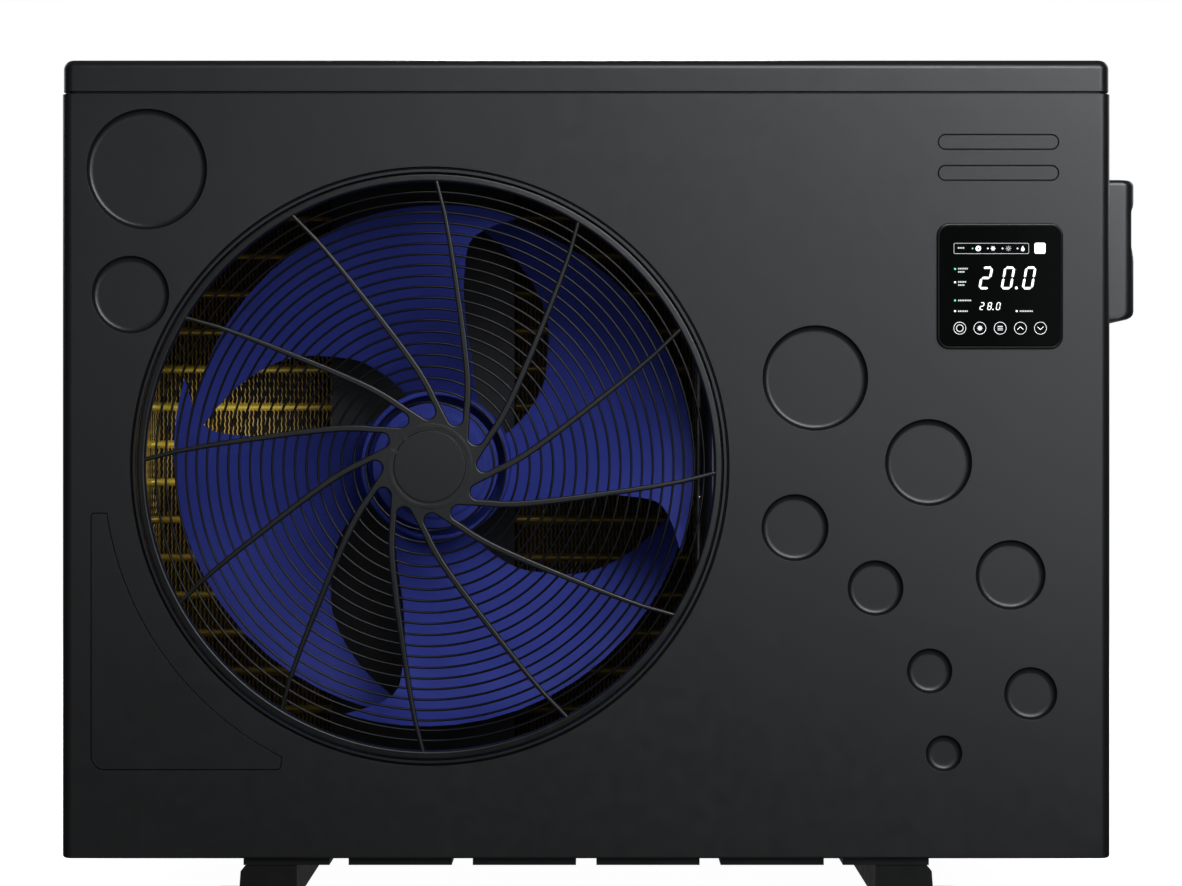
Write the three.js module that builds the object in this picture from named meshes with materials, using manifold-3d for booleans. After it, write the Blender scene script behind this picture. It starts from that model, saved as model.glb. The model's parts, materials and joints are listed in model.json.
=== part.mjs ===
// Pool heat pump: a front-blowing outdoor unit with a swept fan guard, a four-blade fan,
// an L-shaped evaporator, and a compressor bay with the water heat exchanger.
// Millimetres. While it is built, X runs to the right seen from the front, Y runs from the
// front face (0) to the back, and Z runs up from the ground (0). The last lines move the whole
// unit so that its origin is the centre of its footprint.
import * as THREE from 'three';
import { mergeVertices } from 'three/addons/utils/BufferGeometryUtils.js';
import Module from 'manifold-3d';

const wasm = await Module();
wasm.setup();

// Cabinet
const CABINET_W = 1000;
const CABINET_D = 400;
const PANEL_BOTTOM = 48;
const TOTAL_H = 809;
const LID_H = 31;
const SEAM = 1.5;
const PANEL_TOP = TOTAL_H - LID_H - SEAM;
const MOULDING = 2.5;
const SHEET = 1.5;
const EDGE_R = 10.5;
const FRONT_RETURN = 35;
const FIT = 0.4;
const HALF_W = CABINET_W / 2;

// Fan opening, guard and fan
const FAN_X = -149;
const FAN_Z = 421.5;
const OPENING_R = 280.2;
const COLLAR_R = 283.8;
const COLLAR_DEPTH = 16;
const GUARD_R = 279.4;
const GUARD_RIM_INNER_R = 271.5;
const GUARD_HUB_R = 52;
const RIB_COUNT = 12;
const RING_COUNT = 20;
const RING_STEP = 4;
const FAN_R = 255.5;
const FAN_HUB_R = 74;
const BLADE_COUNT = 4;
const BLADE_T = 3;
const SHAFT_R = 6;

// Evaporator, bays and machinery
const COIL_T = 22;
const COIL_BEND = 10;
const COIL_BACK = 366;
const COIL_RIGHT = 118;
const COIL_LEFT = -494;
const END_PLATE_D = 48;
const COIL_BOTTOM = 56;
const COIL_TOP = 760;
const TUBE_PITCH = 40;
const TUBE_R = 4.8;
const PAN_FLOOR = 50;
const EXCHANGER_X = 392;
const EXCHANGER_Y = 232;
const WATER_Z = [140, 420];
const PORT_R = 31;
const SOCKET_R = 25.15;
const PORT_END = 416;
const TAIL_END = 470;
const COMPRESSOR_X = 235;
const COMPRESSOR_Y = 205;

// Controller
const DISPLAY_X = 393.7;
const DISPLAY_Z = 593;
const DISPLAY_SIZE = 120;

const ROUND = 20;
const FINE = 60;

const COLOURS = {
  panel: ['#2a2c2d', 0.55, 0],
  blackSteel: ['#1a1b1c', 0.5, 0.3],
  guard: ['#232526', 0.5, 0],
  blue: ['#2a3bb4', 0.4, 0],
  zinc: ['#8e9296', 0.45, 0.8],
  darkPlate: ['#303233', 0.6, 0.3],
  gold: ['#a8843a', 0.4, 0.8],
  copper: ['#b06a3c', 0.35, 0.9],
  rubber: ['#151515', 0.9, 0],
  pvc: ['#d8d8d2', 0.5, 0],
  blackGloss: ['#060708', 0.12, 0],
  greenBoard: ['#1c5a34', 0.5, 0],
};

const unit = new THREE.Group();
const fanGroup = new THREE.Group();
fanGroup.position.set(FAN_X, 0, FAN_Z);
unit.add(fanGroup);

function addPart(name, geometry, colourName, group = unit) {
  const [color, roughness, metalness] = COLOURS[colourName];
  const material = new THREE.MeshStandardMaterial({ color, roughness, metalness });
  const mesh = new THREE.Mesh(geometry, material);
  mesh.name = name;
  group.add(mesh);
  return mesh;
}

// ---- Geometry helpers ----

function toSolid(geometry) {
  const plain = geometry.clone();
  plain.deleteAttribute('normal');
  plain.deleteAttribute('uv');
  const merged = mergeVertices(plain, 1e-3);
  return new wasm.Manifold(new wasm.Mesh({
    numProp: 3,
    vertProperties: new Float32Array(merged.attributes.position.array),
    triVerts: new Uint32Array(merged.index.array),
  }));
}

function toGeometry(solid) {
  const mesh = solid.getMesh();
  const geometry = new THREE.BufferGeometry();
  geometry.setAttribute('position', new THREE.BufferAttribute(mesh.vertProperties, 3));
  geometry.setIndex(new THREE.BufferAttribute(mesh.triVerts, 1));
  return geometry;
}

function join(...geometries) {
  return toGeometry(geometries.map(toSolid).reduce((sum, next) => sum.add(next)));
}

function cut(base, ...tools) {
  return toGeometry(tools.map(toSolid).reduce((rest, tool) => rest.subtract(tool), toSolid(base)));
}

function common(first, second) {
  return toGeometry(toSolid(first).intersect(toSolid(second)));
}

function block(x0, x1, y0, y1, z0, z1) {
  const geometry = new THREE.BoxGeometry(x1 - x0, y1 - y0, z1 - z0);
  return geometry.translate((x0 + x1) / 2, (y0 + y1) / 2, (z0 + z1) / 2);
}

// A cylinder between two points on one of the three axes.
function rod(radius, from, to, sides = ROUND) {
  const start = new THREE.Vector3(...from);
  const end = new THREE.Vector3(...to);
  const geometry = new THREE.CylinderGeometry(radius, radius, start.distanceTo(end), sides);
  const direction = end.clone().sub(start).normalize();
  const turn = new THREE.Quaternion().setFromUnitVectors(new THREE.Vector3(0, 1, 0), direction);
  geometry.applyQuaternion(turn);
  const middle = start.add(end).multiplyScalar(0.5);
  return geometry.translate(middle.x, middle.y, middle.z);
}

// A turned piece on the Y axis from a closed list of [radius, depth] points.
function turned(points, sides = ROUND) {
  const profile = points.map(([radius, depth]) => new THREE.Vector2(radius, depth));
  profile.push(profile[0].clone());
  return new THREE.LatheGeometry(profile, sides);
}

function ring(inner, outer, front, back, sides = FINE) {
  return turned([[inner, front], [outer, front], [outer, back], [inner, back]], sides);
}

// A turned piece on the Z axis from [radius, height] points that start and end on the axis.
function turnedUpright(points, sides = ROUND) {
  const profile = points.map(([radius, height]) => new THREE.Vector2(radius, height));
  return new THREE.LatheGeometry(profile, sides).rotateX(Math.PI / 2);
}

function outline(points) {
  return new THREE.Shape(points.map(([x, y]) => new THREE.Vector2(x, y)));
}

// A plan outline (X, Y) raised from one height to another.
function raised(shape, z0, z1, options = {}) {
  const geometry = new THREE.ExtrudeGeometry(shape, {
    depth: z1 - z0, bevelEnabled: false, curveSegments: 4, ...options });
  return geometry.translate(0, 0, z0);
}

// A front outline (X, Z) given depth from y0 to y1.
function deepened(shape, y0, y1, curveSegments = 4) {
  const geometry = new THREE.ExtrudeGeometry(shape, {
    depth: y1 - y0, bevelEnabled: false, curveSegments });
  return geometry.rotateX(Math.PI / 2).translate(0, y1, 0);
}

function roundedRectangle(x0, x1, y0, y1, radius) {
  const shape = new THREE.Shape();
  shape.absarc(x1 - radius, y0 + radius, radius, -Math.PI / 2, 0, false);
  shape.absarc(x1 - radius, y1 - radius, radius, 0, Math.PI / 2, false);
  shape.absarc(x0 + radius, y1 - radius, radius, Math.PI / 2, Math.PI, false);
  shape.absarc(x0 + radius, y0 + radius, radius, Math.PI, Math.PI * 1.5, false);
  return shape;
}

// A tube along a smooth route through the given points.
function pipe(radius, points, steps = 16) {
  const route = new THREE.CatmullRomCurve3(points.map((p) => new THREE.Vector3(...p)), false, 'centripetal');
  const section = new THREE.Shape();
  section.absarc(0, 0, radius, 0, Math.PI * 2, false);
  return new THREE.ExtrudeGeometry(section, { steps, extrudePath: route, curveSegments: 4 });
}

const polar = (radius, degrees) => {
  const angle = THREE.MathUtils.degToRad(degrees);
  return [radius * Math.cos(angle), radius * Math.sin(angle)];
};

// A smooth value read between [radius, value] pairs.
function profileValue(pairs, radius) {
  const last = pairs.length - 1;
  if (radius <= pairs[0][0]) return pairs[0][1];
  if (radius >= pairs[last][0]) return pairs[last][1];
  const i = pairs.findIndex(([r]) => r > radius) - 1;
  const slope = (a, b) => (pairs[b][1] - pairs[a][1]) / (pairs[b][0] - pairs[a][0]);
  const width = pairs[i + 1][0] - pairs[i][0];
  const t = (radius - pairs[i][0]) / width;
  const slopeIn = slope(Math.max(i - 1, 0), i + 1) * width;
  const slopeOut = slope(i, Math.min(i + 2, last)) * width;
  const [v0, v1] = [pairs[i][1], pairs[i + 1][1]];
  return (2 * t ** 3 - 3 * t ** 2 + 1) * v0 + (t ** 3 - 2 * t ** 2 + t) * slopeIn
    + (3 * t ** 2 - 2 * t ** 3) * v1 + (t ** 3 - t ** 2) * slopeOut;
}

// ---- Base and feet ----

// Stamped pads under the pan: [centre, width]
const PADS = [[-286, 82], [-177.5, 98.5], [-59, 98.5], [59, 98.5], [177.5, 98.5], [286, 82]];
const PAD_BOTTOM = 41;
const RAIL_BOTTOM = 8;
const RAIL_X = 304;
const RAIL_MARGIN = 5;
const TAB_W = 56;
const TAB_Y = [34, CABINET_D - 34];
const DRAIN = [367, 200];

function basePan() {
  const [x, y0, y1] = [HALF_W - 3.5, 3.5, CABINET_D - 3.5];
  let pan = cut(
    raised(roundedRectangle(-x, x, y0, y1, EDGE_R), PAN_FLOOR, PAN_FLOOR + 22),
    raised(roundedRectangle(-x + SHEET, x - SHEET, y0 + SHEET, y1 - SHEET, EDGE_R - SHEET),
      PAN_FLOOR + SHEET, PAN_FLOOR + 30),
  );
  for (const [centre, width] of PADS) {
    const [left, right] = [centre - width / 2, centre + width / 2];
    pan = join(pan, block(left, right, 6, CABINET_D - 6, PAD_BOTTOM, PAN_FLOOR + 1));
    pan = cut(pan, block(left + SHEET, right - SHEET, 6 + SHEET, CABINET_D - 6 - SHEET,
      PAD_BOTTOM + SHEET, PAN_FLOOR + 5));
  }
  return cut(pan, rod(8.5, [...DRAIN, PAN_FLOOR - 5], [...DRAIN, PAN_FLOOR + 5]));
}

// One foot rail: a channel along the depth with a slotted bolt tab at each end; side is -1 or 1.
function footRail(side) {
  const top = PAD_BOTTOM - FIT;
  const section = outline([
    [-27, RAIL_BOTTOM], [28, RAIL_BOTTOM], [28, top], [-20.6, top], [-25.7, top - 5.3], [-26.7, 21],
  ]);
  let rail = deepened(section, RAIL_MARGIN, CABINET_D - RAIL_MARGIN);
  rail = cut(rail, block(-23, 24, RAIL_MARGIN + 4, CABINET_D, RAIL_BOTTOM - 1, top - 4));
  for (const y of TAB_Y) {
    const tab = raised(roundedRectangle(-54, -22.5, y - TAB_W / 2, y + TAB_W / 2, 4),
      RAIL_BOTTOM, RAIL_BOTTOM + 4);
    const slot = raised(roundedRectangle(-48, -38, y - 10, y + 10, 4.9), 0, 20);
    rail = cut(join(rail, cut(tab, block(-23, 0, 0, CABINET_D, 0, 20))), slot);
  }
  if (side > 0) {
    rail = rail.applyMatrix4(new THREE.Matrix4().makeScale(-1, 1, 1));
    rail.index.array.reverse();
  }
  return rail.translate(side * RAIL_X, 0, 0);
}

function drainNozzle() {
  const [x, y] = DRAIN;
  const flange = rod(14, [x, y, PAN_FLOOR + SHEET + FIT], [x, y, PAN_FLOOR + SHEET + 3]);
  const spigot = rod(8, [x, y, PAN_FLOOR - 26], [x, y, PAN_FLOOR + SHEET + 2]);
  return cut(join(flange, spigot), rod(6, [x, y, 0], [x, y, PAN_FLOOR + 20]));
}

addPart('base_pan', basePan(), 'blackSteel');
addPart('foot_rail_left', footRail(-1), 'blackSteel');
addPart('foot_rail_right', footRail(1), 'blackSteel');
for (const [sideName, side] of [['left', -1], ['right', 1]]) {
  for (const [endName, y] of [['front', 42], ['rear', CABINET_D - 42]]) {
    const x = side * RAIL_X;
    const pad = block(x - 26, x + 26, y - 30, y + 30, 0, RAIL_BOTTOM - FIT);
    addPart(`rubber_pad_${endName}_${sideName}`, pad, 'rubber');
  }
}
addPart('drain_nozzle', drainNozzle(), 'rubber');

// ---- Casing ----

const DIMPLE_DEPTH = 5;
// Round dimples in the front: [x, z, radius]
const DIMPLES = [
  [-418.5, 704.5, 55.8], [-434, 585, 35.2], [218.2, 505.5, 48.5], [326, 425, 39.7], [198.8, 363, 30.2],
  [275.5, 305.5, 24.8], [404.2, 318, 31.5], [327, 226.5, 19.8], [423.3, 205, 23.5], [340.7, 148, 15.6],
];

function frontShell() {
  const outer = new THREE.Shape();
  outer.moveTo(-HALF_W, FRONT_RETURN);
  outer.absarc(-HALF_W + EDGE_R, EDGE_R, EDGE_R, Math.PI, Math.PI * 1.5, false);
  outer.absarc(HALF_W - EDGE_R, EDGE_R, EDGE_R, Math.PI * 1.5, Math.PI * 2, false);
  outer.lineTo(HALF_W, FRONT_RETURN);
  outer.lineTo(HALF_W - MOULDING, FRONT_RETURN);
  outer.absarc(HALF_W - EDGE_R, EDGE_R, EDGE_R - MOULDING, 0, -Math.PI / 2, true);
  outer.absarc(-HALF_W + EDGE_R, EDGE_R, EDGE_R - MOULDING, Math.PI * 1.5, Math.PI, true);
  outer.lineTo(-HALF_W + MOULDING, FRONT_RETURN);
  return raised(outer, PANEL_BOTTOM, PANEL_TOP);
}

// The shallow relief in the lower left corner, with one side following the fan opening.
function cornerRelief() {
  const [left, bottom, top, right, end] = [-473, 131, 377, -293, 12];
  const reliefR = 315;
  const shape = new THREE.Shape();
  const angleAt = (x, z) => Math.atan2(z - FAN_Z, x - FAN_X);
  const startAngle = angleAt(left + end, top);
  const endAngle = angleAt(right, bottom + end);
  shape.moveTo(left, bottom);
  shape.lineTo(right, bottom);
  shape.lineTo(right, bottom + end);
  shape.absarc(FAN_X, FAN_Z, reliefR, endAngle, startAngle, true);
  shape.lineTo(left + end, top);
  shape.lineTo(left, top);
  return deepened(shape, -1, 0.8, 6);
}

function frontPanel() {
  const depth = DIMPLE_DEPTH + MOULDING;
  const axis = (x, z, radius, y0, y1, sides) => rod(radius, [x, y0, z], [x, y1, z], sides);
  const bosses = DIMPLES.map(([x, z, r]) => axis(x, z, r + MOULDING, MOULDING - 1, depth, 20));
  const hollows = DIMPLES.map(([x, z, r]) => axis(x, z, r, -1, DIMPLE_DEPTH, 20));
  const slots = [730.3, 700.8].map((z) => deepened(
    roundedRectangle(334.5, 450.5, z - 7.8, z + 7.8, 7.7), -1, 0.8));
  const window = block(DISPLAY_X - 55, DISPLAY_X + 55, -1, 5, DISPLAY_Z - 55, DISPLAY_Z + 55);
  const opening = rod(OPENING_R + 1.5, [FAN_X, -1, FAN_Z], [FAN_X, 5, FAN_Z], FINE);
  const collar = ring(OPENING_R, COLLAR_R, -1.5, COLLAR_DEPTH).translate(FAN_X, 0, FAN_Z);
  const plate = cut(join(frontShell(), ...bosses), ...hollows, ...slots, window, opening, cornerRelief());
  return join(plate, collar);
}

function topCover() {
  const bevel = 4;
  const side = HALF_W - 1;
  const bevelled = raised(
    roundedRectangle(-side + bevel, side - bevel, bevel, CABINET_D + 1 - bevel, EDGE_R),
    TOTAL_H - 60, TOTAL_H - bevel,
    { bevelEnabled: true, bevelSize: bevel, bevelThickness: bevel, bevelSegments: 2 },
  );
  const bottom = TOTAL_H - LID_H;
  const inside = block(-side + MOULDING, side - MOULDING, MOULDING, CABINET_D + 1 - MOULDING,
    bottom - 60, TOTAL_H - MOULDING - 1);
  const shell = cut(bevelled, inside, block(-HALF_W, HALF_W, -10, CABINET_D + 10, 0, bottom));
  const rimOutline = (inset) => roundedRectangle(
    -HALF_W + inset, HALF_W - inset, inset, CABINET_D - inset, EDGE_R - 1);
  const rim = cut(
    raised(rimOutline(3.5), bottom - 14, TOTAL_H - MOULDING),
    raised(rimOutline(5.5), bottom - 20, TOTAL_H - MOULDING - 1),
  );
  return join(shell, rim);
}

function sideSheet(side) {
  const x = side * HALF_W;
  return block(Math.min(x, x - side * SHEET), Math.max(x, x - side * SHEET),
    FRONT_RETURN + FIT, CABINET_D, PANEL_BOTTOM, PANEL_TOP);
}

function leftSidePanel() {
  const slots = [];
  for (let z = 100; z < 740; z += 40) {
    slots.push(block(-HALF_W - 5, -HALF_W + 5, 70, 325, z, z + 18));
  }
  return cut(sideSheet(-1), ...slots);
}

const BAY_X = 121;
const WIRE_HOLE = [205, 620];

function rearServicePanel() {
  const sheet = block(BAY_X + 2, HALF_W - SHEET - FIT, CABINET_D - SHEET, CABINET_D, PAN_FLOOR, PANEL_TOP);
  const holes = WATER_Z.map((z) => rod(PORT_R + 1.5, [EXCHANGER_X, 380, z], [EXCHANGER_X, 420, z], 24));
  const louvres = [640, 660, 680].map((z) => block(220, 380, 380, 420, z, z + 6));
  return cut(sheet, ...holes, ...louvres);
}

function rearCoilGuard() {
  const [left, right] = [-HALF_W + SHEET + FIT, BAY_X + 1.5];
  const [back, front] = [CABINET_D, CABINET_D - 4];
  const frame = cut(
    block(left, right, CABINET_D - SHEET, back, PAN_FLOOR, PANEL_TOP),
    block(left + 25, right - 20, 380, 420, 85, 745),
  );
  const bars = [];
  for (let z = 150; z < 740; z += 85) {
    bars.push(block(left + 20, right - 15, front + 1, back - 0.5, z, z + 4));
  }
  for (let x = left + 205; x < right - 30; x += 205) {
    bars.push(block(x, x + 4, front + 1, back - 0.5, 80, 750));
  }
  return join(frame, ...bars);
}

addPart('front_panel', frontPanel(), 'panel');
addPart('top_cover', topCover(), 'panel');
addPart('left_side_panel', leftSidePanel(), 'blackSteel');
addPart('right_side_panel', cut(sideSheet(1),
  rod(12, [HALF_W - 10, ...WIRE_HOLE], [HALF_W + 10, ...WIRE_HOLE])), 'blackSteel');
addPart('rear_service_panel', rearServicePanel(), 'blackSteel');
addPart('rear_coil_guard', rearCoilGuard(), 'blackSteel');
addPart('partition_plate', block(BAY_X, BAY_X + SHEET, 24, 317, PAN_FLOOR + SHEET + FIT, 774), 'zinc');

// ---- Fan guard ----

const GUARD_FRONT = -1;
// The swept centre line of a rib: [radius, angle in degrees behind the rim end]
const RIB_SWEEP = [[45, -45.6], [57.3, -34.8], [90.8, -22.2], [127, -13.5], [178.7, -6.8], [274, 0]];
const RIB_RIM_ANGLE = 88.8;

// Radius of ring number i, from the hub outwards: the pitch closes up slightly towards the rim.
const ringRadius = (i) => 61.2 + 11.5 * i - 0.107 * i * (i - 1) / 2;

function guardRib(rimAngle) {
  const radii = [45, 62, 84, 112, 150, 205, 274];
  const edge = (radius, side) => {
    const halfWidth = THREE.MathUtils.mapLinear(radius, 45, 274, 3.6, 1.9);
    const turn = THREE.MathUtils.radToDeg(halfWidth / radius);
    return polar(radius, rimAngle + profileValue(RIB_SWEEP, radius) + side * turn);
  };
  const lower = radii.map((radius) => edge(radius, -1));
  const upper = radii.map((radius) => edge(radius, 1)).reverse();
  return deepened(outline([...lower, ...upper]), GUARD_FRONT, 4.5);
}

// A clip behind the rim that hooks over the back edge of the panel's collar.
function guardClip(degrees) {
  const post = block(273, 278.4, 4, COLLAR_DEPTH + 3.4, -9, 9);
  const hook = block(273, 284, COLLAR_DEPTH + FIT, COLLAR_DEPTH + 3.4, -9, 9);
  return join(post, hook).rotateY(THREE.MathUtils.degToRad(degrees));
}

function fanGuard() {
  const pieces = [ring(GUARD_RIM_INNER_R, GUARD_R, GUARD_FRONT, 7)];
  pieces.push(rod(GUARD_HUB_R, [0, GUARD_FRONT, 0], [0, 6, 0], 24));
  for (let i = 1; i < RING_COUNT; i += RING_STEP) {
    pieces.push(ring(ringRadius(i) - 1.1, ringRadius(i) + 1.1, 1, 3.5, 36));
  }
  for (let i = 0; i < RIB_COUNT; i += 1) {
    pieces.push(guardRib(RIB_RIM_ANGLE + i * 360 / RIB_COUNT));
  }
  for (const degrees of [45, 135, 225, 315]) {
    pieces.push(guardClip(degrees));
  }
  return cut(join(...pieces), rod(34.5, [0, GUARD_FRONT - 1, 0], [0, 1.6, 0], 24));
}

addPart('fan_guard', fanGuard(), 'guard', fanGroup);
addPart('guard_hub_cap', rod(34, [0, GUARD_FRONT - 0.3, 0], [0, 1.2, 0], 24), 'guard', fanGroup);

// ---- Fan, motor and bracket ----

// Angles of the two blade edges along the radius; the trailing edge faces the guard.
const TRAILING_EDGE = [[72, 54], [88, 63.5], [128, 75], [167, 80], [203, 81.2], [223, 80.6], [236, 77.5],
  [247, 73.5], [255.5, 70.5]];
const LEADING_EDGE = [[72, 114.5], [102, 120.5], [132, 127.5], [155, 135], [185, 144], [214, 156],
  [240, 168.7], [255.5, 176]];
const TRAILING_DEPTH = [[72, 98], [160, 82], [255.5, 52]];
const LEADING_DEPTH = [[72, 166], [160, 172], [255.5, 176]];
const MOTOR_BACK = 239.6;
const BRACKET_FRONT = 240;
const MOTOR_SCREWS = [[48, 48], [-48, 48], [-48, -48], [48, -48]];

// A flat block of cells is bent into a blade: its width runs along the chord from trailing to
// leading edge, its height along the radius and its depth through the thickness.
function fanBlade(turn) {
  const geometry = new THREE.BoxGeometry(1, 1, 1, 6, 6, 1);
  const position = geometry.attributes.position;
  for (let i = 0; i < position.count; i += 1) {
    const chord = position.getX(i) + 0.5;
    const radius = THREE.MathUtils.lerp(FAN_HUB_R - 2, FAN_R, position.getY(i) + 0.5);
    const angle = THREE.MathUtils.lerp(
      profileValue(TRAILING_EDGE, radius), profileValue(LEADING_EDGE, radius), chord);
    const depth = THREE.MathUtils.lerp(
      profileValue(TRAILING_DEPTH, radius), profileValue(LEADING_DEPTH, radius), chord);
    const [x, z] = polar(radius, angle + turn);
    position.setXYZ(i, x, depth + position.getZ(i) * BLADE_T, z);
  }
  return geometry;
}

function fanPropeller() {
  const hub = turned([
    [6.3, 84], [16, 84], [16, 92], [50, 92], [53, 95], [62, 95], [65, 92], [71, 92],
    [FAN_HUB_R, 95], [FAN_HUB_R, 172], [71, 172], [71, 98], [16, 98], [16, 150], [6.3, 150],
  ], 28);
  const blades = [];
  for (let i = 0; i < BLADE_COUNT; i += 1) {
    blades.push(fanBlade(i * 360 / BLADE_COUNT));
  }
  const bladeRing = blades.map(toSolid).reduce((sum, blade) => sum.add(blade));
  const inside = turned([[0, 60], [72, 60], [72, 200], [0, 200]], 28);
  return toGeometry(bladeRing.subtract(toSolid(inside)).add(toSolid(hub)));
}

function fanMotor() {
  const body = turned([
    [0, 160], [18, 160], [20, 176.5], [50, 177], [62, 184],
    [62, 233], [68, 234], [68, MOTOR_BACK], [0, MOTOR_BACK],
  ], 24);
  const bore = rod(6.8, [0, 150, 0], [0, 206, 0]);
  const threads = MOTOR_SCREWS.map(([x, z]) => rod(2.9, [x, 222, z], [x, 250, z], 12));
  return cut(body, bore, ...threads);
}

function motorScrew([x, z]) {
  const back = BRACKET_FRONT + MOULDING + FIT;
  return join(rod(2.4, [x, 224, z], [x, back + 1, z], 12), rod(5, [x, back, z], [x, back + 4, z], 12));
}

// The upright plate behind the fan, with two folded sides and a foot and head flange.
function motorBracket() {
  const [left, right] = [-265 - FAN_X, -75 - FAN_X];
  const [bottom, top] = [PAN_FLOOR + SHEET + FIT - FAN_Z, 768 - FAN_Z];
  const back = BRACKET_FRONT + 40;
  const channel = join(
    block(left, right, BRACKET_FRONT, BRACKET_FRONT + MOULDING, bottom, top),
    block(left, left + 2, BRACKET_FRONT, back, bottom, top),
    block(right - 2, right, BRACKET_FRONT, back, bottom, top),
    block(left, right, BRACKET_FRONT, back, bottom, bottom + 2),
    block(left, right, BRACKET_FRONT, back, top - 2, top),
  );
  const holes = MOTOR_SCREWS.map(([x, z]) => rod(2.9, [x, 230, z], [x, 250, z], 12));
  return cut(channel, rod(15, [0, 230, 0], [0, 250, 0]), ...holes);
}

addPart('fan_propeller', fanPropeller(), 'blue', fanGroup);
const fanNut = cut(rod(10, [0, 74, 0], [0, 83.6, 0], 6), rod(6.3, [0, 70, 0], [0, 90, 0]));
addPart('fan_nut', fanNut, 'zinc', fanGroup);
addPart('motor_shaft', rod(SHAFT_R, [0, 70, 0], [0, 204, 0]), 'zinc', fanGroup);
addPart('fan_motor', fanMotor(), 'blackSteel', fanGroup);
addPart('motor_bracket', motorBracket(), 'darkPlate', fanGroup);
MOTOR_SCREWS.forEach((place, i) => addPart(`motor_screw_${i + 1}`, motorScrew(place), 'zinc', fanGroup));

// ---- Evaporator ----

function finPack() {
  const [centreX, centreY] = [COIL_LEFT + COIL_T + COIL_BEND, COIL_BACK - COIL_T - COIL_BEND];
  const shape = new THREE.Shape();
  shape.moveTo(COIL_RIGHT, COIL_BACK - COIL_T);
  shape.lineTo(COIL_RIGHT, COIL_BACK);
  shape.absarc(centreX, centreY, COIL_BEND + COIL_T, Math.PI / 2, Math.PI, false);
  shape.lineTo(COIL_LEFT, 45);
  shape.lineTo(COIL_LEFT + COIL_T, 45);
  shape.absarc(centreX, centreY, COIL_BEND, Math.PI, Math.PI / 2, true);
  return raised(shape, COIL_BOTTOM, COIL_TOP);
}

// The plate at the coil's right end with its return bends, each joining two tubes.
function coilEndPlate() {
  const [left, right] = [COIL_RIGHT + FIT, COIL_RIGHT + FIT + 2];
  const pieces = [block(left, right, COIL_BACK - END_PLATE_D, COIL_BACK + 4, COIL_BOTTOM - 3, COIL_TOP + 3)];
  for (let z = 100; z < 740; z += 2 * TUBE_PITCH) {
    const half = TUBE_PITCH / 2;
    const y = COIL_BACK - COIL_T / 2;
    pieces.push(pipe(TUBE_R, [
      [left + 1, y, z - half], [right + 8, y, z - half], [right + 18, y, z],
      [right + 8, y, z + half], [left + 1, y, z + half],
    ], 6));
  }
  return join(...pieces);
}

addPart('evaporator_fins', finPack(), 'gold');
addPart('coil_end_plate', coilEndPlate(), 'zinc');

// ---- Compressor and refrigerant circuit ----

const COMPRESSOR_TOP = 330;
const ACCUMULATOR = [180, 90];
const VALVE_Z = 480;
const VALVE_Y = 300;
const VALVE_PORTS = { coil: 215, suction: 240, exchanger: 265 };
const EXPANSION = [165, 330];

function compressor() {
  const body = turnedUpright([
    [0, 76], [48, 77], [60, 90], [60, 300], [52, 318], [30, 327], [0, COMPRESSOR_TOP],
  ], 24);
  const basePlate = rod(88, [0, 0, 72], [0, 0, 77], 24);
  return join(body, basePlate).translate(COMPRESSOR_X, COMPRESSOR_Y, 0);
}

function fourWayValve() {
  const y = VALVE_Y;
  const barrel = rod(16, [190, y, VALVE_Z], [290, y, VALVE_Z], 16);
  const stubs = Object.values(VALVE_PORTS).map((x) => rod(6, [x, y, VALVE_Z - 24], [x, y, VALVE_Z], 12));
  const inlet = rod(6, [240, y, VALVE_Z], [240, y, VALVE_Z + 24], 12);
  const pilot = rod(9, [205, y - 28, VALVE_Z], [275, y - 28, VALVE_Z], 12);
  const saddle = block(230, 250, y - 24, y - 10, VALVE_Z - 4, VALVE_Z + 4);
  return join(barrel, ...stubs, inlet, pilot, saddle);
}

function expansionValve() {
  const [x, y] = EXPANSION;
  const body = rod(9, [x, y, 206], [x, y, 236], 16);
  const motor = rod(16, [x, y, 234], [x, y, 262], 16);
  return join(body, motor);
}

addPart('compressor', compressor(), 'blackSteel');
addPart('compressor_terminal_cap', turnedUpright([[0, 332], [16, 332], [16, 348], [12, 352], [0, 352]], 16)
  .translate(COMPRESSOR_X + 24, COMPRESSOR_Y + 14, 0), 'rubber');
for (let i = 0; i < 3; i += 1) {
  const [x, y] = polar(74, 30 + i * 120);
  const [centreX, centreY] = [COMPRESSOR_X + x, COMPRESSOR_Y + y];
  addPart(`compressor_grommet_${i + 1}`,
    rod(11, [centreX, centreY, PAN_FLOOR + SHEET + FIT], [centreX, centreY, 72 - FIT], 16), 'rubber');
}
addPart('suction_accumulator', turnedUpright([
  [0, 100], [18, 101], [30, 112], [30, 286], [18, 299], [0, 300],
]).translate(...ACCUMULATOR, 0), 'blackSteel');
addPart('four_way_valve', fourWayValve(), 'copper');
addPart('expansion_valve', expansionValve(), 'zinc');
addPart('discharge_pipe', pipe(5, [
  [COMPRESSOR_X, COMPRESSOR_Y, 331], [COMPRESSOR_X, COMPRESSOR_Y, 440], [236, 215, 515], [239, 260, 533],
  [240, VALVE_Y - 6, 527], [240, VALVE_Y, 515], [240, VALVE_Y, VALVE_Z + 25],
]), 'copper');
addPart('suction_pipe', pipe(7, [
  [VALVE_PORTS.suction, VALVE_Y, VALVE_Z - 25], [VALVE_PORTS.suction, VALVE_Y, 425], [215, 240, 390],
  [183, 110, 372], [180, 90, 350], [...ACCUMULATOR, 301],
], 20), 'copper');
addPart('accumulator_pipe', pipe(6, [
  [...ACCUMULATOR, 99], [180, 91, 90], [188, 105, 85], [199, 129, 86], [207.5, 147, 92],
], 10), 'copper');
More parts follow.
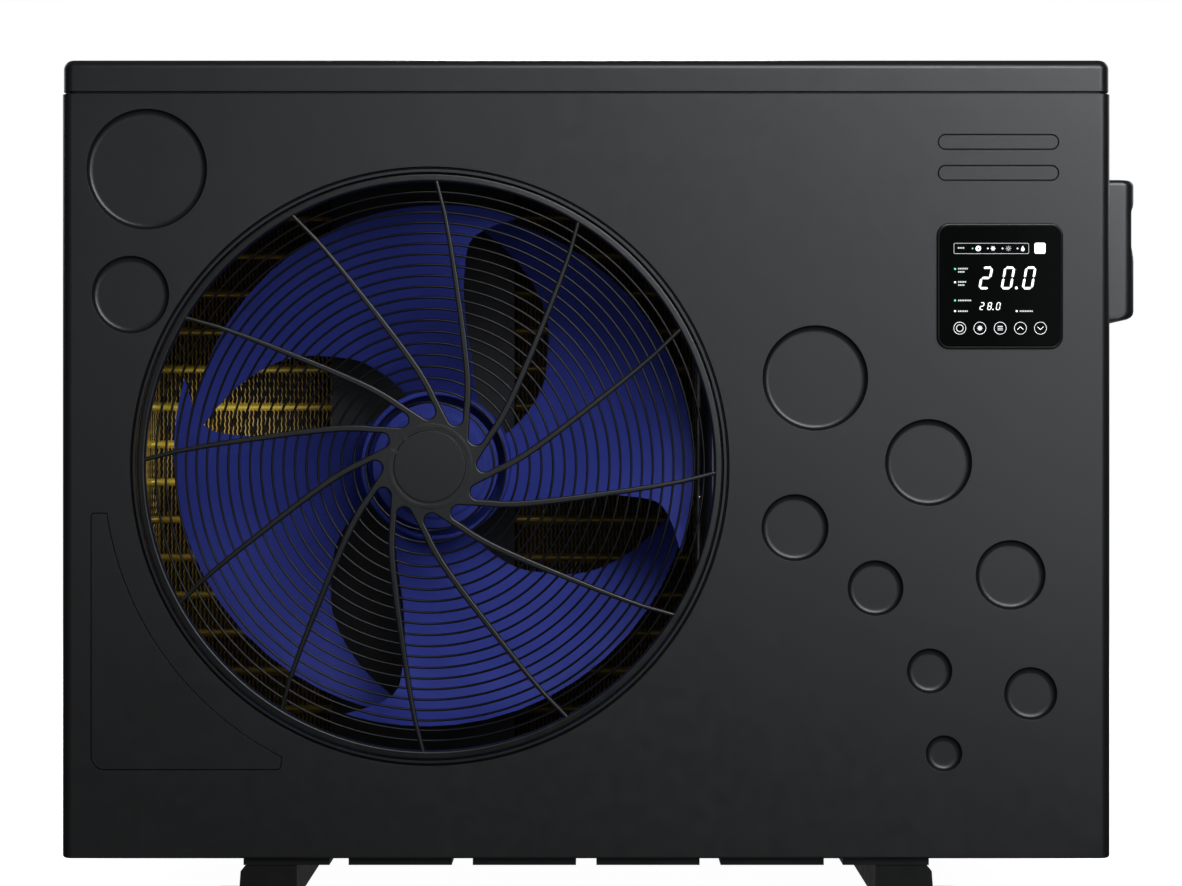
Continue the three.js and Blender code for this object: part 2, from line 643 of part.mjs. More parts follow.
addPart('coil_gas_pipe', pipe(6, [
  [VALVE_PORTS.coil, VALVE_Y, VALVE_Z - 25], [VALVE_PORTS.coil, VALVE_Y, 425], [190, 335, 400],
  [150, 353, 382], [COIL_RIGHT + 3, 355, 380],
]), 'copper');
addPart('exchanger_gas_pipe', pipe(6, [
  [VALVE_PORTS.exchanger, VALVE_Y, VALVE_Z - 25], [VALVE_PORTS.exchanger, VALVE_Y, 448], [280, 291, 440],
  [328, 266, 440],
], 10), 'copper');
addPart('liquid_pipe', pipe(4.5, [
  [324, 262, 112], [310, 290, 108], [270, 325, 104], [190, 332, 104], [167, 330, 120], [...EXPANSION, 205],
], 20), 'copper');
addPart('coil_liquid_pipe', pipe(4.5, [
  [155.3, 330, 220], [148, 330, 220], [138, 352, 220], [130, 355, 220], [COIL_RIGHT + 3, 355, 220],
], 10), 'copper');

// ---- Water side ----

function heatExchanger() {
  const shell = turnedUpright([
    [0, 62], [60, 64], [70, 74], [70, 488], [60, 500], [0, 503],
  ], 24).translate(EXCHANGER_X, EXCHANGER_Y, 0);
  const centre = (y, z) => [EXCHANGER_X, y, z];
  const ports = WATER_Z.map((z) => rod(PORT_R, centre(EXCHANGER_Y, z), centre(PORT_END, z), 20));
  const bores = WATER_Z.map((z) => rod(24, centre(EXCHANGER_Y + 20, z), centre(PORT_END + 5, z), 20));
  return cut(join(shell, ...ports), ...bores);
}

function unionTail(z) {
  const tail = turned([
    [24, PORT_END + 0.6], [PORT_R, PORT_END + 0.6], [PORT_R, PORT_END + 8], [29, PORT_END + 8],
    [29, TAIL_END], [SOCKET_R, TAIL_END], [SOCKET_R, PORT_END + 10], [24, PORT_END + 10],
  ], 20);
  return tail.translate(EXCHANGER_X, 0, z);
}

// A captive nut with eight finger lugs.
function unionNut(z) {
  const [front, back] = [404, 432];
  const points = [];
  for (let i = 0; i < 32; i += 1) {
    points.push(polar(i % 4 < 2 ? 43 : 39, i * 360 / 32));
  }
  const body = deepened(outline(points), front, back);
  const thread = rod(PORT_R + 0.8, [0, 400, 0], [0, PORT_END + 9, 0]);
  const neck = rod(29.8, [0, 400, 0], [0, 440, 0]);
  return cut(body, thread, neck).translate(EXCHANGER_X, 0, z);
}

addPart('heat_exchanger', heatExchanger(), 'pvc');
addPart('water_inlet_tail', unionTail(WATER_Z[0]), 'pvc');
addPart('water_outlet_tail', unionTail(WATER_Z[1]), 'pvc');
addPart('inlet_union_nut', unionNut(WATER_Z[0]), 'blackGloss');
addPart('outlet_union_nut', unionNut(WATER_Z[1]), 'blackGloss');
addPart('water_flow_switch', join(
  block(EXCHANGER_X - 14, EXCHANGER_X + 14, 340, 372, WATER_Z[0] + PORT_R + FIT, WATER_Z[0] + PORT_R + 24),
  rod(6, [EXCHANGER_X, 356, WATER_Z[0] + PORT_R + 20], [EXCHANGER_X, 356, WATER_Z[0] + PORT_R + 36], 12),
), 'blackGloss');

// ---- Electrical parts ----

const BOX = { x0: 124, x1: 485, y0: 32, y1: 240, z0: 548, z1: 700 };

function electricalBox() {
  const { x0, x1, y0, y1, z0, z1 } = BOX;
  return cut(block(x0, x1, y0, y1, z0, z1), block(x0 + 2, x1 - 2, y0 + 2, y1 - 2, z0 + 2, z1 + 5));
}

function controlBoard() {
  const { x0, x1, y0, y1, z0 } = BOX;
  const z = z0 + 12;
  const legs = [[30, 30], [30, -30], [-30, 30], [-30, -30]].map(([dx, dy]) => {
    const x = dx > 0 ? x0 + dx : x1 + dx;
    const y = dy > 0 ? y0 + dy : y1 + dy;
    return rod(3, [x, y, z0 + 2 + FIT], [x, y, z + 1], 8);
  });
  const capacitors = [60, 90, 120].map(
    (dx) => rod(12, [x0 + dx, y0 + 60, z], [x0 + dx, y0 + 60, z + 45], 12));
  const heatSink = block(x1 - 130, x1 - 40, y0 + 40, y1 - 40, z, z + 35);
  return join(block(x0 + 12, x1 - 12, y0 + 12, y1 - 12, z, z + 2), ...legs, ...capacitors, heatSink);
}

const BEZEL_FRONT = -3;

function displayBezel() {
  const half = DISPLAY_SIZE / 2;
  const frame = deepened(
    roundedRectangle(DISPLAY_X - half, DISPLAY_X + half, DISPLAY_Z - half, DISPLAY_Z + half, 12),
    BEZEL_FRONT, -0.3);
  const tray = block(DISPLAY_X - 54, DISPLAY_X + 54, -1, 24, DISPLAY_Z - 54, DISPLAY_Z + 54);
  const recess = deepened(
    roundedRectangle(
      DISPLAY_X - half + 2, DISPLAY_X + half - 2, DISPLAY_Z - half + 2, DISPLAY_Z + half - 2, 10),
    BEZEL_FRONT - 1, -1.4);
  const inside = block(DISPLAY_X - 52, DISPLAY_X + 52, 1, 30, DISPLAY_Z - 52, DISPLAY_Z + 52);
  return cut(join(frame, tray), recess, inside);
}

function displayGlass() {
  const half = DISPLAY_SIZE / 2 - 2 - FIT;
  return deepened(
    roundedRectangle(DISPLAY_X - half, DISPLAY_X + half, DISPLAY_Z - half, DISPLAY_Z + half, 9.6),
    BEZEL_FRONT - 0.1, -1.7);
}

const COVER = { out: 547, y0: 120, y1: 290, bottom: 561, top: 706 };

// The moulded cover on the right side, with a finger recess in its outer face.
function terminalCover() {
  const inner = HALF_W + FIT;
  const { out, y0, y1, bottom, top } = COVER;
  const side = deepened(outline([
    [inner, bottom], [out, bottom + 7.5], [out, 628], [out - 3.5, 641], [out - 3.5, 673.5], [out, 682.5],
    [out, top], [inner, top],
  ]), y0, y1);
  const plan = new THREE.Shape();
  plan.moveTo(inner - 20, y0);
  plan.absarc(out - 12, y0 + 12, 12, -Math.PI / 2, 0, false);
  plan.absarc(out - 12, y1 - 12, 12, 0, Math.PI / 2, false);
  plan.lineTo(inner - 20, y1);
  const hollow = block(inner - 10, out - 6.5, y0 + 3, y1 - 3, bottom + 12, top - 3);
  const glandHole = rod(9.5, [520, 205, 540], [520, 205, 580]);
  return cut(common(side, raised(plan, bottom - 5, top + 5)), hollow, glandHole);
}

function cableGland() {
  const body = rod(9, [520, 205, 558], [520, 205, 580], 16);
  const nut = rod(13, [520, 205, 549], [520, 205, 561.6], 6);
  const lockNut = rod(13, [520, 205, 573.5], [520, 205, 579], 6);
  return cut(join(body, nut, lockNut), rod(6, [520, 205, 540], [520, 205, 590], 16));
}

addPart('electrical_box', electricalBox(), 'zinc');
addPart('electrical_box_lid', block(BOX.x0, BOX.x1, BOX.y0, BOX.y1, BOX.z1 + FIT, BOX.z1 + FIT + 2), 'zinc');
addPart('control_board', controlBoard(), 'greenBoard');
addPart('display_bezel', displayBezel(), 'blackGloss');
addPart('display_glass', displayGlass(), 'blackGloss');
const displayBoard = block(DISPLAY_X - 50, DISPLAY_X + 50, 8, 9.6, DISPLAY_Z - 50, DISPLAY_Z + 50);
addPart('display_board', displayBoard, 'greenBoard');
addPart('terminal_cover', terminalCover(), 'panel');
addPart('terminal_block', join(
  block(HALF_W + FIT, 512, 160, 250, 640, 665),
  block(HALF_W + FIT, 520, 165, 245, 646, 659),
), 'blackGloss');
addPart('cable_gland', cableGland(), 'rubber');
addPart('air_sensor', join(
  rod(3.5, [135, 384, 600], [135, 384, 650], 12),
  block(131, 139, 386, CABINET_D - SHEET - FIT, 618, 630),
), 'copper');

// The footprint runs from the controller's glass to the water tails, and from the left side to the
// terminal cover: the origin goes to its centre, on the ground.
const frontMost = BEZEL_FRONT - 0.1;
unit.position.set(-(COVER.out - HALF_W) / 2, -(frontMost + TAIL_END) / 2, 0);
const heatPump = new THREE.Group();
heatPump.add(unit);
export default heatPump;
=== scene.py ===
"""Pool heat pump unit: the looks. Lengths here are millimetres on the cabinet's own axes, as in
the CAD source: X from the cabinet's middle, Y back from the front face, Z up from the ground.
Skin.build turns them into metres in the shared frame."""
import math
import random

import bmesh
import bpy
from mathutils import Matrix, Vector
from mathutils.geometry import tessellate_polygon
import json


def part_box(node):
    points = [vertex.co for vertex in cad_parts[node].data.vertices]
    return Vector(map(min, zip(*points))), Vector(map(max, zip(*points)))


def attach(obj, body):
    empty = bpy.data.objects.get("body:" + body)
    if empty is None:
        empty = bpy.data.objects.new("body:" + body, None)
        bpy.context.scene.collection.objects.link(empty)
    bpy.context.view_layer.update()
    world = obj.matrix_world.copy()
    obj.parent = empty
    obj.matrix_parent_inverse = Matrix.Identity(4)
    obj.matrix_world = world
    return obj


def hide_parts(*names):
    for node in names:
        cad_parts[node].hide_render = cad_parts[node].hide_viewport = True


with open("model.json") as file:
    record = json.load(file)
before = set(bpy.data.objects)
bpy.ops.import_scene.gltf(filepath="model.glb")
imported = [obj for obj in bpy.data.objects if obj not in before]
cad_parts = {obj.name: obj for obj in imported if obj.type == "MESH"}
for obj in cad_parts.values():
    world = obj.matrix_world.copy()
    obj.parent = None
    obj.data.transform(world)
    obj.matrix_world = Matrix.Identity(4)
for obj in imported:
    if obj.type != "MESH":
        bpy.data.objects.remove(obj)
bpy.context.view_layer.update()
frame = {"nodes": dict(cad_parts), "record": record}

MM = 0.001
TAU = 2 * math.pi

# ---- Places taken from the CAD frame ----


def cad_box(node):
    """A CAD node's corners in cabinet millimetres."""
    return [(corner - ORIGIN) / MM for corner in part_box(node)]


def cad_middle(node):
    low, high = cad_box(node)
    return (low + high) / 2


def in_cabinet(x, y, z):
    """A place given in cabinet millimetres, in the frame's metres."""
    return Vector((x, y, z)) * MM + ORIGIN


panel_low, panel_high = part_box("front_panel")
COLLAR_PROUD = 1.5
ORIGIN = Vector(((panel_low.x + panel_high.x) / 2, panel_low.y + COLLAR_PROUD * MM, 0))
panel_low, panel_high = cad_box("front_panel")
HALF_W = panel_high.x
PANEL_BOTTOM = panel_low.z
PANEL_TOP = panel_high.z
TOTAL_H = cad_box("top_cover")[1].z
CABINET_D = cad_box("right_side_panel")[1].y
SEAM = 0.4
RETURN_D = cad_box("right_side_panel")[0].y - SEAM
guard_low, guard_high = cad_box("fan_guard")
FAN_X = (guard_low.x + guard_high.x) / 2
FAN_Z = (guard_low.z + guard_high.z) / 2
FAN_CENTRE = (FAN_X, 0, FAN_Z)
OPENING_R = (guard_high.x - guard_low.x) / 2 + 0.8

# ---- Mesh building ----


def add_object(name, data):
    new = bpy.data.objects.new(name, data)
    bpy.context.scene.collection.objects.link(new)
    return new


class Skin:
    """Vertices and faces in cabinet millimetres, gathered loop by loop."""

    def __init__(self):
        self.verts = []
        self.faces = []
        self.marks = []
        self.mark = 0

    def loop(self, points):
        start = len(self.verts)
        self.verts.extend(tuple(p) for p in points)
        return list(range(start, len(self.verts)))

    def face(self, ids):
        kept = tuple(dict.fromkeys(ids))
        if len(kept) > 2:
            self.faces.append(kept)
            self.marks.append(self.mark)

    def bridge(self, first, second):
        for i in range(len(first)):
            j = (i + 1) % len(first)
            self.face((first[i], first[j], second[j], second[i]))

    def tube(self, loops, closed=False):
        for first, second in zip(loops, loops[1:]):
            self.bridge(first, second)
        if closed:
            self.bridge(loops[-1], loops[0])

    def planar(self, outer, holes=()):
        """A flat face with holes, from vertex ids."""
        rings = [outer, *holes]
        order = [i for ring in rings for i in ring]
        corners = [[Vector(self.verts[i]) for i in ring] for ring in rings]
        for triangle in tessellate_polygon(corners):
            self.face([order[i] for i in triangle])

    def spin(self, profile, centre, axis, count, closed=False):
        """A turned surface from (radius, distance along axis) points."""
        loops = []
        for radius, along in profile:
            points = circle_outline(0, 0, radius, count) if radius else [(0, 0)]
            ids = self.loop(on_axis(centre, axis, u, v, along) for u, v in points)
            loops.append(ids if radius else ids * count)
        self.tube(loops, closed)
        return loops

    def steps(self, place, outline, levels):
        """A loop for each (inwards, deep) level of an outline, where place says where it goes."""
        return [self.loop(place(u, v, deep) for u, v in inset_outline(outline, inwards))
                for inwards, deep in levels]

    def capped(self, loops):
        """A closed shell through the loops, its ends closed with triangles."""
        self.tube(loops)
        self.planar(loops[0])
        self.planar(loops[-1])

    def rod(self, loops):
        """A closed shell through the loops, with a single face at each end."""
        self.tube(loops)
        self.face(loops[0])
        self.face(loops[-1])

    def box(self, low, high, bevel):
        """A box with its edges cut back, as one closed shell."""
        x0, y0, z0 = low
        x1, y1, z1 = high
        levels = [(z0, bevel), (z0 + bevel, 0), (z1 - bevel, 0), (z1, bevel)]
        loops = [self.loop((x, y, z) for x, y in rounded_outline(
            x0 + inset, x1 - inset, y0 + inset, y1 - inset, bevel, 2)) for z, inset in levels]
        self.capped(loops)

    def build(self, name, slot, materials, replaced=(), smooth=35, body="cabinet"):
        mesh = bpy.data.meshes.new(name)
        mesh.from_pydata([in_cabinet(*v) for v in self.verts], [], self.faces)
        for material in materials if isinstance(materials, list) else [materials]:
            mesh.materials.append(material)
        for polygon, mark in zip(mesh.polygons, self.marks):
            polygon.material_index = mark
        work = bmesh.new()
        work.from_mesh(mesh)
        bmesh.ops.remove_doubles(work, verts=work.verts, dist=1e-6)
        bmesh.ops.dissolve_degenerate(work, edges=work.edges, dist=1e-7)
        bmesh.ops.recalc_face_normals(work, faces=work.faces)
        work.to_mesh(mesh)
        work.free()
        mesh.shade_smooth()
        mesh.set_sharp_from_angle(angle=math.radians(smooth))
        piece = add_object(name, mesh)
        weighted = piece.modifiers.new("even shading", "WEIGHTED_NORMAL")
        weighted.keep_sharp = True
        weighted.weight = 90
        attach(piece, body)
        if replaced:
            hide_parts(*replaced)

    def stand_for(self, node, slot, material, smooth=35, body="cabinet"):
        """Builds the piece that takes one CAD node's place."""
        self.build(f"{node}_skin", slot, material, [node], smooth, body)


def on_axis(centre, axis, u, v, along):
    """A point round a level y axis or an upright z axis: u and v across it."""
    x, y, z = centre
    if axis == "y":
        return (x + u, y + along, z + v)
    return (x + u, y + v, z + along)


def on_front(u, v, deep):
    return (u, deep, v)


def on_right(u, v, deep):
    return (HALF_W - deep, u, v)


def on_left(u, v, deep):
    return (-HALF_W + deep, u, v)


def on_rear(u, v, deep):
    return (u, CABINET_D - deep, v)


def circle_outline(x, z, radius, count):
    return [(x + radius * math.cos(TAU * i / count), z + radius * math.sin(TAU * i / count))
            for i in range(count)]


def rounded_outline(x0, x1, y0, y1, radius, steps):
    """A rectangle's outline with round corners, anticlockwise."""
    points = []
    corners = ((x1 - radius, y0 + radius, -90), (x1 - radius, y1 - radius, 0),
               (x0 + radius, y1 - radius, 90), (x0 + radius, y0 + radius, 180))
    for cx, cy, start in corners:
        for i in range(steps + 1):
            angle = math.radians(start + 90 * i / steps)
            points.append((cx + radius * math.cos(angle), cy + radius * math.sin(angle)))
    return points


def inset_outline(points, distance):
    """A closed anticlockwise outline moved inwards by a small distance."""
    count = len(points)
    moved = []
    for i, (x, y) in enumerate(points):
        ax, ay = points[i - 1]
        bx, by = points[(i + 1) % count]
        before = Vector((x - ax, y - ay)).normalized()
        after = Vector((bx - x, by - y)).normalized()
        tangent = (before + after).normalized()
        stretch = 1 / max(0.5, before.dot(tangent))
        moved.append((x - tangent.y * distance * stretch, y + tangent.x * distance * stretch))
    return moved


def polar(radius, degrees):
    angle = math.radians(degrees)
    return radius * math.cos(angle), radius * math.sin(angle)


def smooth_value(pairs, at):
    """A smooth value read between (position, value) pairs."""
    if at <= pairs[0][0]:
        return pairs[0][1]
    if at >= pairs[-1][0]:
        return pairs[-1][1]
    last = len(pairs) - 1
    i = next(k for k in range(last) if at < pairs[k + 1][0])
    width = pairs[i + 1][0] - pairs[i][0]
    t = (at - pairs[i][0]) / width

    def slope(a, b):
        return (pairs[b][1] - pairs[a][1]) / (pairs[b][0] - pairs[a][0]) * width

    slope_in = slope(max(i - 1, 0), i + 1)
    slope_out = slope(i, min(i + 2, last))
    v0, v1 = pairs[i][1], pairs[i + 1][1]
    return ((2 * t ** 3 - 3 * t ** 2 + 1) * v0 + (t ** 3 - 2 * t ** 2 + t) * slope_in
            + (3 * t ** 2 - 2 * t ** 3) * v1 + (t ** 3 - t ** 2) * slope_out)


# ---- Materials ----


def set_inputs(node, **values):
    """Sets a node's inputs by name, with an underscore for each space."""
    for name, value in values.items():
        node.inputs[name.replace("_", " ")].default_value = value


def add_node(nodes, kind, **values):
    node = nodes.new("ShaderNode" + kind)
    set_inputs(node, **values)
    return node


def add_blend(material, factor, first, second, kind="MIX"):
    """Mixes a colour socket with a fixed colour, by a factor socket."""
    links = material.node_tree.links
    node = material.node_tree.nodes.new("ShaderNodeMix")
    node.data_type = "RGBA"
    node.blend_type = kind
    set_inputs(node, B=(*second, 1))
    links.new(factor, node.inputs["Factor"])
    if isinstance(first, bpy.types.NodeSocket):
        links.new(first, node.inputs["A"])
    else:
        set_inputs(node, A=(*first, 1))
    return node.outputs["Result"]


def shader(name, colour, rough, metal=0.0, grain=0.0, grain_size=0.5, rough_spread=0.06, tint_spread=0.12,
           specular=0.5, wear=0.0, wear_colour=(0.05, 0.05, 0.05)):
    """A surface with fine grain, patchy gloss, slight colour drift and, if asked, worn edges.
    grain is the bump's height and grain_size its spacing, both in millimetres."""
    material = bpy.data.materials.new(name)
    material.use_nodes = True
    nodes, links = material.node_tree.nodes, material.node_tree.links
    main = nodes["Principled BSDF"]
    set_inputs(main, Metallic=metal, Specular_IOR_Level=specular)
    place = nodes.new("ShaderNodeTexCoord")

    def noise(scale, detail):
        node = add_node(nodes, "TexNoise", Scale=scale, Detail=detail)
        links.new(place.outputs["Object"], node.inputs["Vector"])
        return node.outputs["Fac"]

    def spread(source, low, high, start=0.3, end=0.7):
        node = add_node(nodes, "MapRange", From_Min=start, From_Max=end, To_Min=low, To_Max=high)
        links.new(source, node.inputs["Value"])
        return node.outputs["Result"]

    dark = [c * (1 - tint_spread) for c in colour]
    light = [min(1.0, c * (1 + tint_spread)) for c in colour]
    tinted = add_blend(material, spread(noise(9.0, 3.0), 0.0, 1.0), dark, light)
    if wear:
        edge = nodes.new("ShaderNodeNewGeometry").outputs["Pointiness"]
        tinted = add_blend(material, spread(edge, 0.0, wear, 0.52, 0.60), tinted, wear_colour)
    links.new(tinted, main.inputs["Base Color"])
    links.new(spread(noise(60.0, 4.0), max(0.03, rough - rough_spread), rough + rough_spread),
              main.inputs["Roughness"])
    if grain:
        bump = add_node(nodes, "Bump", Distance=grain * MM, Strength=1.0)
        links.new(noise(1.0 / (grain_size * MM), 2.0), bump.inputs["Height"])
        links.new(bump.outputs["Normal"], main.inputs["Normal"])
    return material


def glowing(name, colour):
    material = shader(name, colour, 0.4)
    main = material.node_tree.nodes["Principled BSDF"]
    set_inputs(main, Emission_Color=(*colour, 1), Emission_Strength=1.0)
    return material


CASING = shader("casing plastic", (0.0070, 0.0073, 0.0078), 0.32, grain=0.035, grain_size=0.45,
                rough_spread=0.03)
CASING_STEEL = shader("powder coated steel", (0.012, 0.0125, 0.013), 0.5, grain=0.03, grain_size=0.7,
                      specular=0.45, wear=0.15, wear_colour=(0.08, 0.08, 0.08))
CHASSIS = shader("chassis paint", (0.003, 0.003, 0.0032), 0.38, grain=0.02, grain_size=1.2,
                 specular=0.2, wear=0.1)
GUARD = shader("guard plastic", (0.0060, 0.0064, 0.0066), 0.32, grain=0.015, specular=0.42,
               wear=0.1, wear_colour=(0.09, 0.09, 0.09))
# The guard's rings use the guard plastic made darker, painted shade for the dark look of the thin wires, with
# a tighter gloss.
SHADED_RING_PLASTIC = shader("guard rings in painted shade", (0.0015, 0.0016, 0.0017), 0.16, rough_spread=0.03, specular=0.3)
BLUE = shader("fan blue", (0.036, 0.050, 0.29), 0.55, grain=0.012, grain_size=0.6, specular=0.08,
              tint_spread=0.06)
ZINC = shader("zinc plated steel", (0.42, 0.43, 0.44), 0.38, metal=0.9, grain=0.01, grain_size=2.5,
              tint_spread=0.25)
BRACKET = shader("bracket paint", (0.012, 0.0125, 0.013), 0.5, grain=0.02, grain_size=0.8, specular=0.3)
MOTOR = shader("motor paint", (0.012, 0.012, 0.013), 0.42, grain=0.04, grain_size=1.0)
GOLD = shader("gold fins", (1.0, 0.62, 0.15), 0.42, metal=0.35, grain=0.05, grain_size=1.5,
              tint_spread=0.3, rough_spread=0.1)
TUBES = shader("coil tubes", (1.0, 0.68, 0.08), 0.3, metal=0.3, grain=0.01, grain_size=1.0, tint_spread=0.2)
# Dark brown for the sheet that stands in for the coil's second row of fins: painted shade, the look of gold
# fins deep in the coil.
SHADED_CORE = shader("coil core in painted shade", (0.022, 0.011, 0.009), 0.6, metal=0.2, grain=0.1, grain_size=2.0, tint_spread=0.3)


# How dark the painted shade on the coil gets outside its painted pool of light.
POOL_SHADE = 0.28


def paint_light_pool(material, lit_at, lit_r, shade_r):
    """Paints a pool of light on a metal: its colour is darkened away from a point in cabinet millimetres, as
    painted shade, so that only the patch facing that point keeps its full, lit colour.
    """
    nodes, links = material.node_tree.nodes, material.node_tree.links
    base = nodes["Principled BSDF"].inputs["Base Color"]
    place = nodes.new("ShaderNodeTexCoord")
    apart = nodes.new("ShaderNodeVectorMath")
    apart.operation = "DISTANCE"
    apart.inputs[1].default_value = in_cabinet(*lit_at)
    links.new(place.outputs["Object"], apart.inputs[0])
    fade = add_node(nodes, "MapRange", From_Min=lit_r * MM, From_Max=shade_r * MM)
    fade.interpolation_type = "SMOOTHSTEP"
    links.new(apart.outputs["Value"], fade.inputs["Value"])
    painted_shade = (POOL_SHADE, POOL_SHADE * 0.9, POOL_SHADE * 0.8)
    links.new(add_blend(material, fade.outputs["Result"], base.links[0].from_socket, painted_shade, "MULTIPLY"), base)


# The coil's fins and tubes show a painted pool of light round this point and painted shade further out.
POOL_CENTRE = (-392, 44, 450)
paint_light_pool(GOLD, POOL_CENTRE, 300.6, 314)
paint_light_pool(TUBES, POOL_CENTRE, 300.8, 322)

COPPER = shader("copper", (0.62, 0.27, 0.13), 0.28, metal=0.95, grain=0.01, grain_size=1.5, tint_spread=0.3)
RUBBER = shader("rubber", (0.010, 0.010, 0.010), 0.75, grain=0.05, grain_size=0.8)
PVC = shader("pvc", (0.55, 0.55, 0.52), 0.4, grain=0.01, grain_size=1.0)
BLACK = shader("black plastic", (0.010, 0.010, 0.011), 0.28, grain=0.01, grain_size=0.4)
SCREEN = shader("screen glass", (0.001, 0.0016, 0.0013), 0.12, rough_spread=0.02, specular=0.03)
BOARD = shader("circuit board", (0.012, 0.10, 0.035), 0.4, grain=0.03, grain_size=1.2)
LIT = glowing("lit segments", (0.93, 0.95, 0.95))
LIT_GREEN = glowing("green light", (0.08, 0.75, 0.35))
# Grey print on the glass, given a glow of its own: painted light, as bright as if it were lit.
GLOWING_PRINT = glowing("printed grey with painted glow", (0.45, 0.47, 0.47))
SCREW = shader("blackened screws", (0.05, 0.05, 0.052), 0.35, metal=0.8, grain=0.01, grain_size=1.0)
BEZEL = shader("bezel plastic", (0.004, 0.004, 0.004), 0.22, grain=0.004, grain_size=0.4)
COVER = shader("cover plastic", (0.0080, 0.0083, 0.0088), 0.32, grain=0.03, grain_size=0.45, specular=0.62,
               rough_spread=0.03)

SLOT_MATERIALS = {
    "casing_plastic": CASING, "casing_steel": CASING_STEEL, "chassis_steel": CHASSIS, "guard_plastic": GUARD,
    "fan_plastic": BLUE, "zinc_steel": ZINC, "bracket_steel": BRACKET, "motor_paint": MOTOR, "fin_gold": GOLD,
    "copper": COPPER, "rubber": RUBBER, "pvc": PVC, "black_plastic": BLACK, "screen": SCREEN, "board": BOARD,
}

# Every CAD node gets the material of its slot in the record
for entry in frame["record"]["subparts"]:
    node_materials = frame["nodes"][entry["node"]].data.materials
    node_materials.clear()
    node_materials.append(SLOT_MATERIALS[entry["material_slot"]])

# ---- Front panel ----

EDGE_R = 10.5
MOULDING = 2.5
DIMPLE_DEPTH = 5.0
# Round dimples: (x, z, radius)
DIMPLES = [
    (-418.5, 704.5, 55.8), (-434, 585, 35.2), (218.2, 505.5, 48.5), (326, 425, 39.7), (198.8, 363, 30.2),
    (275.5, 305.5, 24.8), (404.2, 318, 31.5), (327, 226.5, 19.8), (423.3, 205, 23.5), (340.7, 148, 15.6),
]
# (inwards, deep) steps down a dimple's wall
DIMPLE_SHOULDER = 1.9
DIMPLE_WALL = [(0.2, 0.1), (0.35, 0.45), (1.1, 1.95), (1.9, 3.2), (2.6, 3.9), (3.4, 4.35),
               (4.4, 4.75), (5.6, 4.95), (6.4, DIMPLE_DEPTH)]
SHALLOW_WALL = [(0.06, 0.05), (0.7, 1.45), (0.8, 1.45), (1.4, 0.3), (1.6, 0.25)]
GROOVE_WALL = [(0.06, 0.04), (0.55, 1.3), (0.65, 1.3), (1.15, 0.04), (1.25, 0)]


def corner_relief_outline():
    """The relief in the lower left corner, whose long side follows the fan opening."""
    left, bottom, top, right, end, relief_r = -472, 132, 377, -290, 12, 310
    start = math.degrees(math.atan2(bottom + end - FAN_Z, right - FAN_X))
    stop = math.degrees(math.atan2(top - FAN_Z, left + end + 3 - FAN_X))
    arc = []
    for i in range(41):
        x, z = polar(relief_r, start + (stop - start) * i / 40)
        arc.append((FAN_X + x, FAN_Z + z))
    corner = rounded_outline(left, left + 30, bottom, bottom + 30, 13, 8)[-9:]
    cap = [(right - 4, bottom), (right - 1.2, bottom + 1.2), (right, bottom + 4)]
    tip = [(left + end - 2, top + 0.5), (left + 3, top + 0.5), (left + 0.8, top - 0.8), (left, top - 3)]
    return [*cap, *arc, *tip, *corner]


def sink(skin, outline, wall):
    """Steps a hole's edge back into the panel and closes it. Returns the edge's ids."""
    loops = skin.steps(on_front, outline, [(0, 0), *wall])
    skin.tube(loops)
    skin.planar(loops[-1])
    return loops[0]


EDGE_STEPS = 7


def panel_corner(cx, radius, start, sweep):
    turns = (polar(radius, start + sweep * i / EDGE_STEPS) for i in range(EDGE_STEPS + 1))
    return [(cx + x, EDGE_R + y) for x, y in turns]


def panel_plan(inset):
    """The panel's closed U section at one height: its outside, then its inside."""
    left, right = -HALF_W + EDGE_R, HALF_W - EDGE_R
    outer, inner = EDGE_R - inset, EDGE_R - MOULDING
    return [(-HALF_W + inset, RETURN_D), *panel_corner(left, outer, 180, 90),
            *panel_corner(right, outer, 270, 90), (HALF_W - inset, RETURN_D),
            (HALF_W - MOULDING, RETURN_D), *panel_corner(right, inner, 360, -90),
            *panel_corner(left, inner, 270, -90), (-HALF_W + MOULDING, RETURN_D)]


